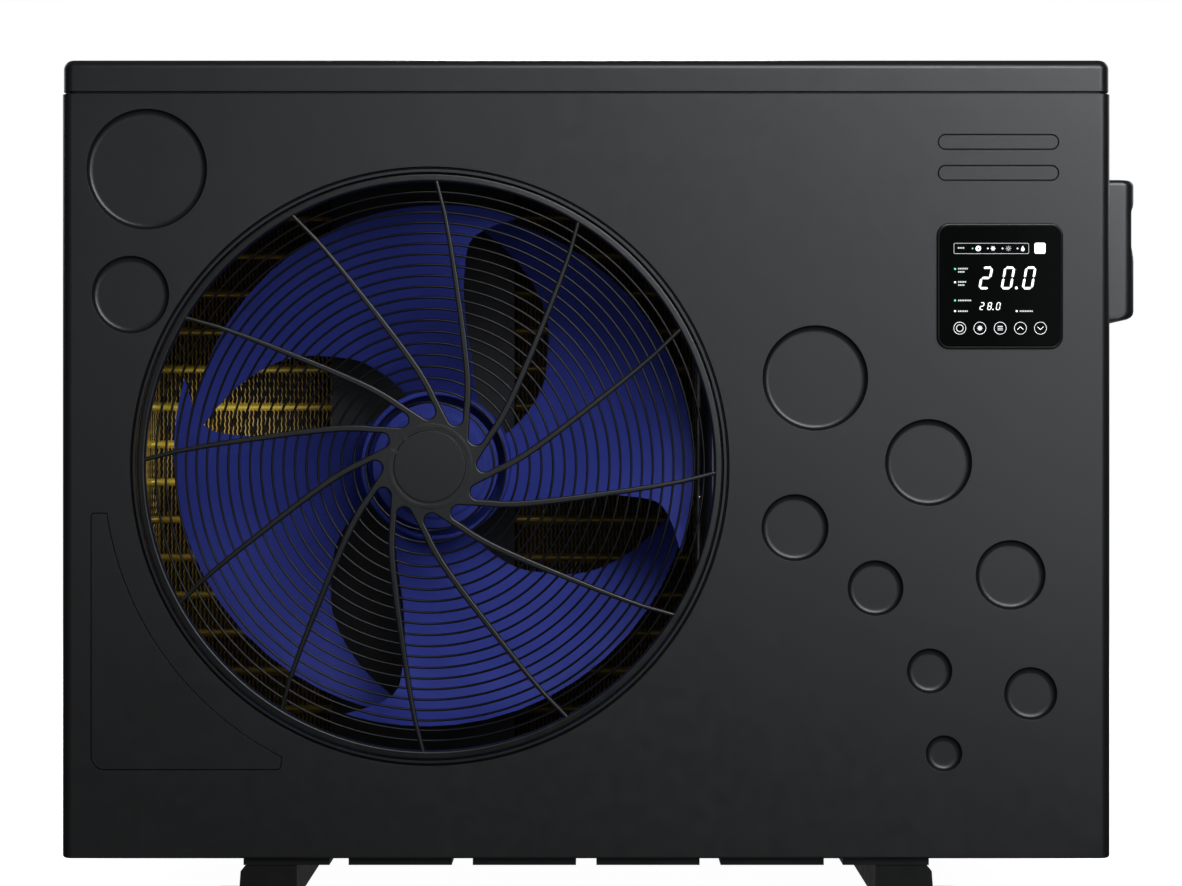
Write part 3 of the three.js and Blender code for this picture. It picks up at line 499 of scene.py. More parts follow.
def front_panel():
    skin = Skin()
    levels = [(PANEL_BOTTOM, 2.0), (PANEL_BOTTOM + 0.7, 0.8), (PANEL_BOTTOM + 2.0, 0),
              (PANEL_TOP - 0.6, 0), (PANEL_TOP - 0.2, 0.2), (PANEL_TOP, 0.6)]
    loops = [skin.loop((x, y, z) for x, y in panel_plan(inset)) for z, inset in levels]
    count = len(loops[0])
    front_at = EDGE_STEPS + 1
    back_at = count - front_at - 2
    for level, (low, high) in enumerate(zip(loops, loops[1:])):
        for i in range(count):
            j = (i + 1) % count
            if level != 2 or i not in (front_at, back_at):
                skin.face((low[i], low[j], high[j], high[i]))
    skin.planar(loops[0])
    skin.planar(loops[-1])
    low, high = loops[2], loops[3]

    # Front face: dimples, slots, relief, controller window and fan collar
    holes = [sink(skin, circle_outline(x, z, radius + DIMPLE_SHOULDER, 72), DIMPLE_WALL)
             for x, z, radius in DIMPLES]
    holes += [sink(skin, rounded_outline(334.5, 450.5, z - 7.8, z + 7.8, 7.79, 14), SHALLOW_WALL)
              for z in (730.3, 700.8)]
    holes.append(sink(skin, corner_relief_outline(), GROOVE_WALL))
    window = rounded_outline(338.7, 448.7, 538, 648, 4, 3)
    window_front, window_back = skin.steps(on_front, window, [(0, 0), (0, MOULDING)])
    skin.bridge(window_front, window_back)
    collar = [(285.6, 0), (285.5, 0.1), (284.45, 2.3), (284.35, 2.3), (283.2, 0), (283.1, -0.9),
              (282.8, -1.4), (282.4, -COLLAR_PROUD), (OPENING_R + 0.1, -COLLAR_PROUD),
              (OPENING_R, -1.35), (OPENING_R, 16), (283.8, 16), (283.8, MOULDING)]
    rings = skin.spin(collar, FAN_CENTRE, "y", 192)
    holes += [window_front, rings[0]]
    skin.planar([low[front_at], low[front_at + 1], high[front_at + 1], high[front_at]], holes)

    # Inner face: bosses behind the dimples
    back_holes = [window_back, rings[-1]]
    for x, z, radius in DIMPLES:
        boss = skin.spin([(radius + MOULDING, MOULDING), (radius + MOULDING, DIMPLE_DEPTH + MOULDING)],
                         (x, 0, z), "y", 48)
        skin.planar(boss[1])
        back_holes.append(boss[0])
    skin.planar([low[back_at], low[back_at + 1], high[back_at + 1], high[back_at]], back_holes)
    skin.stand_for("front_panel", "casing_plastic", CASING, smooth=50)


front_panel()

# ---- Top cover ----


def top_cover():
    low, high = cad_box("top_cover")
    bottom = PANEL_TOP + 1.9
    fillet = 9.0
    steps = [(7.0, 803), (7.0, bottom - 13), (5.0, bottom - 13), (5.0, bottom), (0.5, bottom),
             (0, bottom + 0.5)]
    for i in range(10):
        angle = math.radians(10 * i)
        steps.append((fillet * (1 - math.cos(angle)), TOTAL_H - fillet * (1 - math.sin(angle))))
    steps += [(34, TOTAL_H), (35, TOTAL_H - 0.1), (38, TOTAL_H - 0.9), (40, TOTAL_H - 1)]
    skin = Skin()
    skin.capped([skin.loop((x, y, z) for x, y in rounded_outline(
        low.x + inset, high.x - inset, low.y + inset, high.y - inset, max(EDGE_R - inset, 4), 8))
        for inset, z in steps])
    skin.stand_for("top_cover", "casing_plastic", CASING, smooth=40)


# ---- Sheet metal panels ----


SHEET = 1.5


def sheet(skin, place, outline, holes, presses=()):
    """A flat sheet with rounded edges, cut holes and shallow pressed outlines."""
    rim = skin.steps(place, outline, ((0.6, 0), (0.15, 0.15), (0, 0.6), (0, SHEET)))
    skin.tube(rim)
    front_holes, back_holes = [], []
    for hole in holes:
        loops = skin.steps(place, hole, ((-0.4, 0), (0, 0.4), (0, SHEET)))
        skin.tube(loops)
        front_holes.append(loops[0])
        back_holes.append(loops[-1])
    for press in presses:
        loops = skin.steps(place, press, ((0, 0), (0.8, 0.15), (2.2, 0.9), (3.2, 1.05)))
        skin.tube(loops)
        skin.planar(loops[-1])
        front_holes.append(loops[0])
    skin.planar(rim[0], front_holes)
    skin.planar(rim[-1], back_holes)


def slat(skin, place, u0, u1, v0, rise, reach):
    """A louvre blade that leans in and up from its window's lower edge."""
    thick = 1.2
    section = [(v0, 0.8), (v0 + thick, 0.5), (v0 + rise, reach - thick), (v0 + rise, reach)]
    skin.rod([skin.loop(place(u, v, deep) for v, deep in section) for u in (u0, u1)])


def side_panels():
    right = Skin()
    outline = rounded_outline(RETURN_D + SEAM, CABINET_D, PANEL_BOTTOM, PANEL_TOP, 1.5, 3)
    presses = [rounded_outline(75, 360, 95, 500, 14, 6), rounded_outline(75, 360, 725, 752, 13.4, 8)]
    hole = circle_outline(205, 620, 12, 32)
    sheet(right, on_right, outline, [hole], presses)
    right.build("right_side_skin", "casing_steel", CASING_STEEL, ["right_side_panel"])

    left = Skin()
    heights = range(100, 740, 40)
    for z in heights:
        slat(left, on_left, 66, 329, z - 0.5, 15, 8)
    sheet(left, on_left, outline, [rounded_outline(70, 325, z, z + 18, 3, 3) for z in heights])
    left.build("left_side_skin", "casing_steel", CASING_STEEL, ["left_side_panel"])


PORTS = [cad_middle("water_inlet_tail"), cad_middle("water_outlet_tail")]
PORT_R = 31.0


def rear_panels():
    low, high = cad_box("rear_service_panel")
    skin = Skin()
    holes = [circle_outline(port.x, port.z, PORT_R + 1.5, 64) for port in PORTS]
    for z in (640, 660, 680):
        holes.append(rounded_outline(220, 380, z, z + 6, 2.9, 4))
        slat(skin, on_rear, 218, 382, z - 0.5, 6, 7)
    presses = [rounded_outline(150, 330, 80, 560, 14, 6)]
    sheet(skin, on_rear, rounded_outline(low.x, high.x, low.z, high.z, 1.5, 3), holes, presses)
    skin.build("rear_service_skin", "casing_steel", CASING_STEEL, ["rear_service_panel"])

    collars = Skin()
    for port in PORTS:
        collars.spin([(31.4, 0), (31.4, -1.6), (31.9, -2.1), (37, -2.1), (37.8, -1.6), (38, -0.2), (38, 0)],
                     (port.x, CABINET_D + 2.3, port.z), "y", 64, closed=True)
    collars.build("port_collars", "rubber", RUBBER)

    low, high = cad_box("rear_coil_guard")
    guard = Skin()
    window = rounded_outline(low.x + 25, high.x - 20, 85, 745, 6, 4)
    sheet(guard, on_rear, rounded_outline(low.x, high.x, low.z, high.z, 1.5, 3), [window])
    wires = 42
    for i in range(1, wires):
        x = low.x + 25 + (high.x - low.x - 45) * i / wires
        wire(guard, (x, CABINET_D - 2.7, 80), (x, CABINET_D - 2.7, 750), 1.1)
    for z in range(115, 740, 30):
        wire(guard, (low.x + 20, CABINET_D - 4.4, z), (high.x - 15, CABINET_D - 4.4, z), 1.3)
    guard.build("rear_guard_skin", "casing_steel", CHASSIS, ["rear_coil_guard"], smooth=50)


def wire(skin, start, end, radius):
    start, end = Vector(start), Vector(end)
    along = (end - start).normalized()
    across = along.orthogonal().normalized()
    other = along.cross(across)
    section = circle_outline(0, 0, radius, 8)
    skin.rod([skin.loop(point + across * u + other * v for u, v in section) for point in (start, end)])


SCREW_R = 4.2


def screw_head(skin, place, u, v):
    """A pan head with a cross recess, standing on a panel."""
    profile = [(1, 0), (1, -0.7), (0.93, -1.3), (0.78, -1.9), (0.62, -2.2)]
    loops = [skin.loop(place(x, y, deep) for x, y in circle_outline(u, v, SCREW_R * part, 24))
             for part, deep in profile]
    arm, wide = SCREW_R * 0.45, SCREW_R * 0.13
    cross = [(arm, wide), (wide, wide), (wide, arm), (-wide, arm), (-wide, wide), (-arm, wide),
             (-arm, -wide), (-wide, -wide), (-wide, -arm), (wide, -arm), (wide, -wide), (arm, -wide)]
    recess = [skin.loop(place(u + x, v + y, deep) for x, y in cross) for deep in (-2.2, -0.9)]
    skin.tube(loops)
    skin.face(loops[0])
    skin.bridge(*recess)
    skin.planar(recess[1])
    skin.planar(loops[-1], [recess[0]])


def casing_screws():
    skin = Skin()
    for place in (on_right, on_left):
        for v in (62, 412, 762):
            for u in (52, 388):
                screw_head(skin, place, u, v)
    edges = [(u, v) for u in (-486, -190, 108, 136, 484) for v in (64, 762)]
    for u, v in (*edges, (136, 600), (484, 600), (136, 300), (484, 300), (-486, 415), (108, 415)):
        screw_head(skin, on_rear, u, v)
    skin.build("casing_screws", "zinc_steel", SCREW, smooth=30)


# ---- Fan guard ----

RIB_COUNT = 12
RIB_RIM_ANGLE = 88.8
RIB_SWEEP = [(45, -45.3), (50, -39.8), (57.3, -34.8), (90.8, -22.2), (127, -13.5), (178.7, -6.8), (274, 0)]
RING_COUNT = 20
RING_Y = 2.1
RING_WIRE_R = 1.15


def ring_radius(i):
    return 61.2 + 11.5 * i - 0.107 * i * (i - 1) / 2


def rib_point(radius, rim_angle, side):
    """A point on a rib's edge. The rib narrows from 7.6 mm at the hub to 3.8 mm at the rim."""
    half_width = 3.8 - 1.9 * (radius - 45) / (274 - 45)
    turn = math.degrees(side * half_width / radius)
    return Vector(polar(radius, rim_angle + smooth_value(RIB_SWEEP, radius) + turn))


def slot_end(angle, following):
    """The round inner end of the slot between two ribs, as an arc tangent to both rib edges."""
    radius, steps = 7.2, 12
    a, b = rib_point(66, angle, 1), rib_point(66, following, -1)
    a_way = (rib_point(84, angle, 1) - a).normalized()
    b_way = (rib_point(84, following, -1) - b).normalized()
    a_side, b_side = Vector((-a_way.y, a_way.x)), Vector((b_way.y, -b_way.x))
    gap = (b + b_side * radius) - (a + a_side * radius)
    along = (gap.x * b_way.y - gap.y * b_way.x) / (a_way.x * b_way.y - a_way.y * b_way.x)
    centre = a + a_side * radius + a_way * along
    start = math.atan2(-a_side.y, -a_side.x)
    stop = math.atan2(-b_side.y, -b_side.x)
    if stop > start:
        stop -= TAU
    turns = (start + (stop - start) * k / steps for k in range(steps + 1))
    return [centre + Vector((math.cos(turn), math.sin(turn))) * radius for turn in turns]


def spider_outline():
    """The guard's hub and ribs as one outline, with a round slot end between each two ribs."""
    radii = [66, 72, 78, 85, 94, 105, 118, 133, 150, 170, 192, 216, 242, 273]
    points = []
    for i in range(RIB_COUNT):
        angle = RIB_RIM_ANGLE + i * 360 / RIB_COUNT
        points += [rib_point(r, angle, -1) for r in radii]
        points += [rib_point(r, angle, 1) for r in reversed(radii)]
        points += slot_end(angle, angle + 360 / RIB_COUNT)
    return [(FAN_X + p.x, FAN_Z + p.y) for p in points]


def hub_clip_ring(skin):
    """A faint raised ring round the hub cap, open at the upper left with a tab at each end."""
    levels = [(0.0, -0.8), (0.0, -0.98), (0.25, -1.12)]
    outline = [polar(36.5, a) for a in range(161, 491, 4)]
    outline += [polar(36.5, 490), polar(33.5, 490), polar(33.5, 496), polar(41, 496)]
    outline += [polar(41, a) for a in range(490, 158, -4)]
    outline += [polar(41, 155), polar(33.5, 155), polar(33.5, 161)]
    points = [(FAN_X + x, FAN_Z + z) for x, z in reversed(outline)]
    skin.capped(skin.steps(on_front, points, levels))


def fan_guard():
    skin = Skin()
    levels = [(0.55, 5.2), (0, 4.6), (0, 0.5), (0.5, -0.45), (0.75, -0.66), (0.85, -0.7), (1.3, -0.86),
              (1.4, -0.885), (1.6, -0.9)]
    loops = skin.steps(on_front, spider_outline(), levels)
    skin.tube(loops)
    skin.planar(loops[0])
    seat = skin.spin([(34.45, -0.9), (34.25, -0.6), (34.25, 1.6), (0, 1.6)], FAN_CENTRE, "y", 96)
    skin.planar(loops[-1], [seat[0]])
    # Rim
    skin.spin([(270.9, 6.4), (270.9, 1.2), (271.2, 0.1), (271.7, -0.7), (272.4, -1.2), (273.0, -1.35),
               (273.4, -1.34), (277.0, -1.02), (277.3, -0.98), (277.8, -0.8), (278.1, 0), (278.2, 2.6),
               (278.5, 3.2), (279.4, 3.4), (279.4, 7), (272, 7)], FAN_CENTRE, "y", 192, closed=True)
    for degrees in (45, 135, 225, 315):
        clip(skin, degrees)
    hub_clip_ring(skin)
    skin.stand_for("fan_guard", "guard_plastic", GUARD, smooth=38)

    cap = Skin()
    cap.spin([(0, -0.92), (33.4, -0.92), (33.85, -0.75), (34, -0.4), (34, 1.2), (0, 1.2)],
             FAN_CENTRE, "y", 96)
    cap.stand_for("guard_hub_cap", "guard_plastic", GUARD, smooth=38)


def guard_rings():
    rings = Skin()
    for i in range(RING_COUNT):
        radius = ring_radius(i)
        section = circle_outline(radius, RING_Y, RING_WIRE_R, 10)
        rings.spin(section, FAN_CENTRE, "y", max(72, int(radius * 0.75)), closed=True)
    rings.build("fan_guard_rings", "guard_plastic", SHADED_RING_PLASTIC, smooth=50)


def clip(skin, degrees):
    """One of the clips that hold the guard's rim behind the collar."""
    start = len(skin.verts)
    skin.box((273, 4, -9), (278.4, 19.4, 9), 0.8)
    skin.box((274, 16.4, -9), (284, 19.4, 9), 0.8)
    turn = math.radians(degrees)
    for i, (x, y, z) in enumerate(skin.verts[start:], start):
        skin.verts[i] = (FAN_X + x * math.cos(turn) - z * math.sin(turn), y,
                         FAN_Z + x * math.sin(turn) + z * math.cos(turn))


# ---- Fan ----

TRAILING_EDGE = [(72, 54), (88, 63.5), (128, 75), (167, 80), (203, 81.2), (223, 80.6), (236, 77.5),
                 (247, 73.5), (255.5, 70.5)]
LEADING_EDGE = [(72, 114.5), (102, 120.5), (132, 127.5), (155, 135), (185, 144), (214, 156), (240, 168.7),
                (255.5, 176)]
TRAILING_DEPTH = [(72, 98), (160, 82), (255.5, 52)]
LEADING_DEPTH = [(72, 166), (160, 172), (255.5, 176)]
FAN_R = 255.5
HUB_R = 74.0
ROOT_R = 71.0


def blade(skin, turn):
    rows, columns = 26, 22
    loops = []
    for row in range(rows + 1):
        radius = ROOT_R + (FAN_R - ROOT_R) * row / rows
        near_tip = max(0.0, (radius - FAN_R + 4) / 4)
        near_root = max(0.0, (86 - radius) / 12)
        front, back = [], []
        for column in range(columns + 1):
            t = column / columns
            chord = 0.5 - 0.5 * math.cos(math.pi * t)
            angle = (smooth_value(TRAILING_EDGE, radius) * (1 - chord)
                     + smooth_value(LEADING_EDGE, radius) * chord + turn)
            depth = (smooth_value(TRAILING_DEPTH, radius) * (1 - chord)
                     + smooth_value(LEADING_DEPTH, radius) * chord)
            camber = 7.0 * 4 * chord * (1 - chord) * min(1.0, (radius - ROOT_R) / 60)
            half = (0.35 + 1.25 * math.sqrt(max(0.0, 4 * chord * (1 - chord)))) * (1 - 0.7 * near_tip)
            half += 2.2 * near_root ** 2
            x, z = polar(radius, angle)
            front.append((FAN_X + x, depth + camber - half, FAN_Z + z))
            back.append((FAN_X + x, depth + camber + half, FAN_Z + z))
        loops.append(skin.loop(front + back[::-1]))
    skin.tube(loops)
    skin.face(loops[0])
    skin.planar(loops[-1])


def fan():
    skin = Skin()
    skin.spin([(6.3, 83), (15, 83), (16, 84), (16, 90.5), (17.5, 92), (48, 92), (51, 92.6), (53, 94.6),
               (54, 95), (60.8, 95), (61.8, 95.4), (62.3, 96.4), (62.3, 128), (68.8, 128), (68.8, 95.2),
               (69.1, 93.8), (69.8, 92.9), (71, 92.6), (72.4, 92.8), (73.5, 93.8), (HUB_R, 95.5),
               (HUB_R, 171), (73.5, 172), (71, 172), (71, 131), (59.5, 131), (59.5, 98), (16, 98),
               (16, 150), (6.3, 150)], FAN_CENTRE, "y", 96, closed=True)
    for i in range(4):
        blade(skin, 90 * i)
    skin.stand_for("fan_propeller", "fan_plastic", BLUE, smooth=45, body="fan_rotor")


# ---- Evaporator ----

COIL_T = 22.0
COIL_BEND = 10.0
coil_low, coil_high = cad_box("evaporator_fins")
BEND_X = coil_low.x + COIL_T + COIL_BEND
BEND_Y = coil_high.y - COIL_T - COIL_BEND
FIN_PITCH = 4.4
TUBE_R = 4.7
TUBE_PITCH = 40.8
TUBE_BOTTOM = 75.0
TUBE_ROWS = 17


def coil_stations(pitch):
    """Points on the coil's inner face with the way through the coil, from right to front left."""
    stations = []
    x = coil_high.x - pitch / 2
    while x > BEND_X:
        stations.append((x, coil_high.y - COIL_T, 0.0, 1.0))
        x -= pitch
    middle = COIL_BEND + COIL_T / 2
    count = round(middle * math.pi / 2 / pitch)
    for i in range(count + 1):
        angle = math.pi / 2 + math.pi / 2 * i / count
        dx, dy = math.cos(angle), math.sin(angle)
        stations.append((BEND_X + COIL_BEND * dx, BEND_Y + COIL_BEND * dy, dx, dy))
    y = BEND_Y - pitch
    while y > coil_low.y + pitch / 2:
        stations.append((coil_low.x + COIL_T, y, -1.0, 0.0))
        y -= pitch
    return stations


def evaporator():
    rng = random.Random(7)
    skin = Skin()
    half = 0.45
    count = 176
    for x, y, dx, dy in coil_stations(FIN_PITCH):
        lean = rng.uniform(-0.15, 0.15)
        phase = rng.uniform(0, TAU)
        loops = []
        for k in range(count + 1):
            z = coil_low.z + (coil_high.z - coil_low.z) * k / count
            wave = 0.5 * (1 if k % 2 else -1) + lean + 0.2 * math.sin(phase + k * 0.35)
            lip = (0.7 if k % 2 else 0.0) + rng.uniform(0, 0.5)
            low, high = wave - half, wave + half
            corners = ((lip, low), (lip, high), (COIL_T, high), (COIL_T, low))
            loops.append(skin.loop(
                (x + dx * along + dy * across, y + dy * along - dx * across, z) for along, across in corners))
        skin.rod(loops)
    skin.stand_for("evaporator_fins", "fin_gold", GOLD, smooth=4)

    # A thin sheet halfway through the coil stands in for its second row of fins; its dark colour is painted
    # shade.
    core = Skin()
    inner, outer = COIL_T / 2 - 1, COIL_T / 2 + 1
    corners = ((inner, coil_low.z), (outer, coil_low.z), (outer, coil_high.z), (inner, coil_high.z))
    core.rod([core.loop((x + dx * along, y + dy * along, z) for along, z in corners)
              for x, y, dx, dy in coil_stations(10.0)])
    core.build("evaporator_second_row", "fin_gold", SHADED_CORE)

    tubes = Skin()
    for level in range(TUBE_ROWS):
        section = circle_outline(TUBE_R - 0.6, TUBE_BOTTOM + TUBE_PITCH * level, TUBE_R, 12)
        tubes.rod([tubes.loop((x + dx * along, y + dy * along, z) for along, z in section)
                   for x, y, dx, dy in coil_stations(14.0)])
    tubes.build("evaporator_tubes", "copper", TUBES)


# ---- Controller ----

DISPLAY_X = cad_middle("display_bezel").x
DISPLAY_Z = cad_middle("display_bezel").z
GLASS_Y = cad_box("display_glass")[0].y


def square_shell(node, slot, material, profile):
    """A shell through (half width, corner radius, y) squares round the controller's middle."""
    skin = Skin()
    skin.capped([skin.loop((DISPLAY_X + u, y, DISPLAY_Z + v) for u, v in rounded_outline(
        -half, half, -half, half, radius, 8)) for half, radius, y in profile])
    skin.stand_for(node, slot, material)


def controller():
    square_shell("display_bezel", "black_plastic", BEZEL, [
        (54, 3, 24), (54, 3, -0.3), (60, 12, -0.3), (60, 12, -1.9), (59.7, 11.7, -2.5),
        (59.0, 11, -2.9), (58.5, 10.5, -3.0), (58.1, 10.1, -2.8), (58, 10, -1.4)])
    square_shell("display_glass", "screen", SCREEN, [
        (57.6, 9.6, -1.7), (57.6, 9.6, GLASS_Y + 0.5), (57.3, 9.3, GLASS_Y + 0.15), (56.9, 8.9, GLASS_Y)])


class Marks(Skin):
    """Flat shapes on the controller's glass, in millimetres from its centre: lit segments and lights, and
    grey print that is given a glow of its own as painted light.
    """

    def shape(self, outline, mark, holes=()):
        self.mark = mark
        fronts, backs = [], []
        for ring in (outline, *holes):
            for faces, y in ((fronts, GLASS_Y - 0.05), (backs, GLASS_Y + 0.02)):
                faces.append(self.loop((DISPLAY_X + u, y, DISPLAY_Z + v) for u, v in ring))
            self.bridge(fronts[-1], backs[-1])
        self.planar(fronts[0], fronts[1:])
        self.planar(backs[0], backs[1:])

    def ring(self, u, v, radius, width, mark):
        self.shape(circle_outline(u, v, radius, 40), mark, [circle_outline(u, v, radius - width, 40)])

    def flower(self, u, v, radius, swing, petals):
        turns = (TAU * k / (8 * petals) for k in range(8 * petals))
        rim = ((radius + swing * math.cos(petals * turn), turn) for turn in turns)
        self.shape([(u + r * math.cos(turn), v + r * math.sin(turn)) for r, turn in rim], GREY)

    def stroke(self, points, width, mark):
        """A line of even width through the points."""
        for (u0, v0), (u1, v1) in zip(points, points[1:]):
            along = Vector((u1 - u0, v1 - v0)).normalized() * width / 2
            side = Vector((-along.y, along.x))
            a, b = Vector((u0, v0)) - along * 0.6, Vector((u1, v1)) + along * 0.6
            self.shape([tuple(a - side), tuple(b - side), tuple(b + side), tuple(a + side)], mark)


WHITE, GREEN, GREY = 0, 1, 2
# Segments lit in each figure: top, upper right, lower right, bottom, lower left, upper left, middle
FIGURES = {"0": "abcdef", "2": "abdeg", "8": "abcdefg"}


def figure(marks, text, u, v, width, height, stroke):
    """One seven-segment figure leaning to the right."""
    lean = math.tan(math.radians(10))
    t, g = stroke / 2, stroke * 0.2
    middle = height / 2

    def flat(y):
        return [(t + g, y), (2 * t + g, y + t), (width - 2 * t - g, y + t), (width - t - g, y),
                (width - 2 * t - g, y - t), (2 * t + g, y - t)]

    def upright(x, y0, y1):
        return [(x, y0 + g), (x + t, y0 + t + g), (x + t, y1 - t - g), (x, y1 - g),
                (x - t, y1 - t - g), (x - t, y0 + t + g)]

    segments = {"a": flat(height - t), "g": flat(middle), "d": flat(t),
                "b": upright(width - t, middle, height - t), "c": upright(width - t, t, middle),
                "f": upright(t, middle, height - t), "e": upright(t, t, middle)}
    for key in FIGURES[text]:
        marks.shape([(u + x + y * lean, v + y) for x, y in segments[key]], WHITE)


def icons(marks):
    """Generic signs: heating, cooling, automatic and drying."""
    v = 35.7
    marks.shape(circle_outline(-20.8, v, 2.6, 24), WHITE, [circle_outline(-20.8, v, 0.9, 12)])
    marks.flower(-6.8, v, 2.1, 0.4, 6)
    for k in range(8):
        x, y = polar(1, 45 * k)
        marks.stroke([(7.9 + 1.5 * x, v + 1.5 * y), (7.9 + 2.6 * x, v + 2.6 * y)], 0.4, GREY)
    marks.ring(7.9, v, 1.1, 0.4, GREY)
    turns = (math.radians(degrees) for degrees in range(150, 391, 15))
    drop = [(21.5 + 1.7 * math.cos(a), v - 0.9 + 1.7 * math.sin(a)) for a in turns]
    marks.shape([(21.5, v + 2.6), *drop], WHITE)


def display_marks():
    marks = Marks()
    outer = rounded_outline(-44.1, 27.3, 30.6, 40.8, 1.2, 4)
    marks.shape(outer, GREY, [inset_outline(outer, 0.36)])
    for u, kind in ((-26.3, GREEN), (-11.8, WHITE), (2.2, WHITE), (16.5, WHITE)):
        marks.shape(circle_outline(u, 35.7, 0.75, 16), kind)
    icons(marks)
    key = rounded_outline(32.6, 43.1, 30.7, 41.1, 1.6, 4)
    wide, narrow = (circle_outline(37.9, 35.8, radius, 32) for radius in (3.3, 2.6))
    marks.shape(key, WHITE, [wide])
    marks.shape(wide, GREY, [narrow])
    marks.shape(narrow, WHITE)
    for text, u in (("2", -20.9), ("0", 0.2), ("0", 20.3)):
        figure(marks, text, u, -3.2, 10.6, 21.7, 2.2)
    marks.shape(circle_outline(15.4, -1.8, 1.35, 20), WHITE)
    for text, u in (("2", -19.9), ("8", -12.6), ("0", -4.4)):
        figure(marks, text, u, -22.8, 3.9, 7.3, 0.75)
    marks.shape(circle_outline(-6.9, -22.3, 0.6, 12), WHITE)
    for u, v, kind in ((-42.9, 16.2, GREEN), (-42.9, 3.6, WHITE), (-42.9, -13.7, GREEN),
                       (-42.9, -23.9, WHITE), (15.7, -23.9, WHITE)):
        marks.shape(circle_outline(u, v, 0.95, 16), kind)
    # Short bars where the real panel has words
    for u, v, cells in ((-40, 16.5, 6), (-40, 13.4, 4), (-40, 3.9, 5), (-40, 0.9, 4), (-40, -13.7, 8),
                        (-40, -23.9, 6), (18.6, -23.9, 8), (-40.2, 36.2, 4)):
        for cell in range(cells):
            left = u + cell * 1.6
            marks.shape(rounded_outline(left, left + 1.15, v - 0.7, v + 0.7, 0.2, 1), GREY)
    v = -40.1
    for u in (-38.4, -19.3, 0, 19.2, 38.3):
        marks.ring(u, v, 5.9, 0.32, WHITE)
    marks.ring(-38.4, v, 3.6, 0.8, GREY)
    marks.flower(-19.3, v, 2.2, 0.5, 8)
    for dv in (-1.7, 0, 1.7):
        marks.stroke([(-2.3, v + dv), (2.3, v + dv)], 0.45, WHITE)
    for u, up in ((19.2, 1), (38.3, -1)):
        marks.stroke([(u - 2.7, v - 1.2 * up), (u, v + 1.3 * up), (u + 2.7, v - 1.2 * up)], 0.5, WHITE)
    marks.build("display_marks", "screen", [LIT, LIT_GREEN, GLOWING_PRINT])


# ---- Terminal cover and gland ----


def terminal_cover():
    low, high = cad_box("terminal_cover")
    inner, out = low.x, high.x
    y0, y1 = low.y, high.y
    rim = 6.0
    # (height, how far the end is in from the full width, how deep the finger notch is)
    levels = [(low.z, inner + 2 - out, 0), (low.z + 1.5, inner + 10 - out, 0),
              (low.z + 4.0, inner + 26 - out, 0), (low.z + 6.2, -6.5, 0), (low.z + 8.0, -3.0, 0),
              (low.z + 10.5, -0.8, 0), (low.z + 14, 0, 0), (625, 0, 0), (629, 0, 0.5), (634, 0, 1.8),
              (639, 0, 3.1), (643, 0, 3.5), (671, 0, 3.5), (675, 0, 3.1), (679, 0, 1.4), (682, 0, 0.4),
              (685, 0, 0)]
    for i in range(7):
        angle = math.radians(15 * i)
        levels.append((high.z - rim * (1 - math.sin(angle)), -rim * (1 - math.cos(angle)), 0))
    skin = Skin()
    loops = []
    for z, dx, notch in levels:
        edge = out + dx
        near_top = max(0.0, z - (high.z - rim)) / rim
        near_bottom = min(1.0, max(0.0, low.z + 8 - z) / 8)
        pull = 0.7 * rim * (2 - math.sqrt(max(0.0, 1 - near_top ** 2)) - math.sqrt(1 - near_bottom ** 2))
        corner = min(12.0, edge - inner - 0.5)
        plan = []
        for cy, start in ((y0 + pull + corner, -90), (y1 - pull - corner, 0)):
            for k in range(9):
                x, y = polar(corner, start + 90 * k / 8)
                plan.append((min(edge - corner + x, out - notch), cy + y))
        loops.append(skin.loop([(inner, y0 + pull, z), *[(x, y, z) for x, y in plan], (inner, y1 - pull, z)]))
    skin.capped(loops)
    skin.stand_for("terminal_cover", "casing_plastic", COVER, smooth=45)


def cable_gland():
    low, high = cad_box("cable_gland")
    centre = cad_middle("cable_gland").xy
    skin = Skin()
    # Hexagon with a bore
    z0, z1 = low.z + 3, low.z + 12.6
    levels = [(12.1, z0), (13, z0 + 0.9), (13, z1 - 0.9), (12.1, z1)]
    loops = [skin.loop((x, y, z) for x, y in circle_outline(*centre, radius, 6)) for radius, z in levels]
    bores = [skin.loop((x, y, z) for x, y in circle_outline(*centre, 6.0, 32)) for z in (z0, z1)]
    skin.tube(loops)
    skin.bridge(*bores)
    skin.planar(loops[0], [bores[0]])
    skin.planar(loops[-1], [bores[1]])
    # Collar and ribbed sleeve
    skin.spin([(6, 0), (9.5, 0), (10.6, 1), (11, 3.2), (6, 3.2)], (*centre, low.z), "z", 48, closed=True)
    profile = [(6, 12), (9, 12)]
    for k in range(6):
        profile += [(9, 13 + 2 * k), (8.4, 14 + 2 * k)]
    skin.spin([*profile, (9, high.z - low.z), (6, high.z - low.z)], (*centre, low.z), "z", 48, closed=True)
    skin.stand_for("cable_gland", "rubber", BLACK)


# ---- Water unions ----


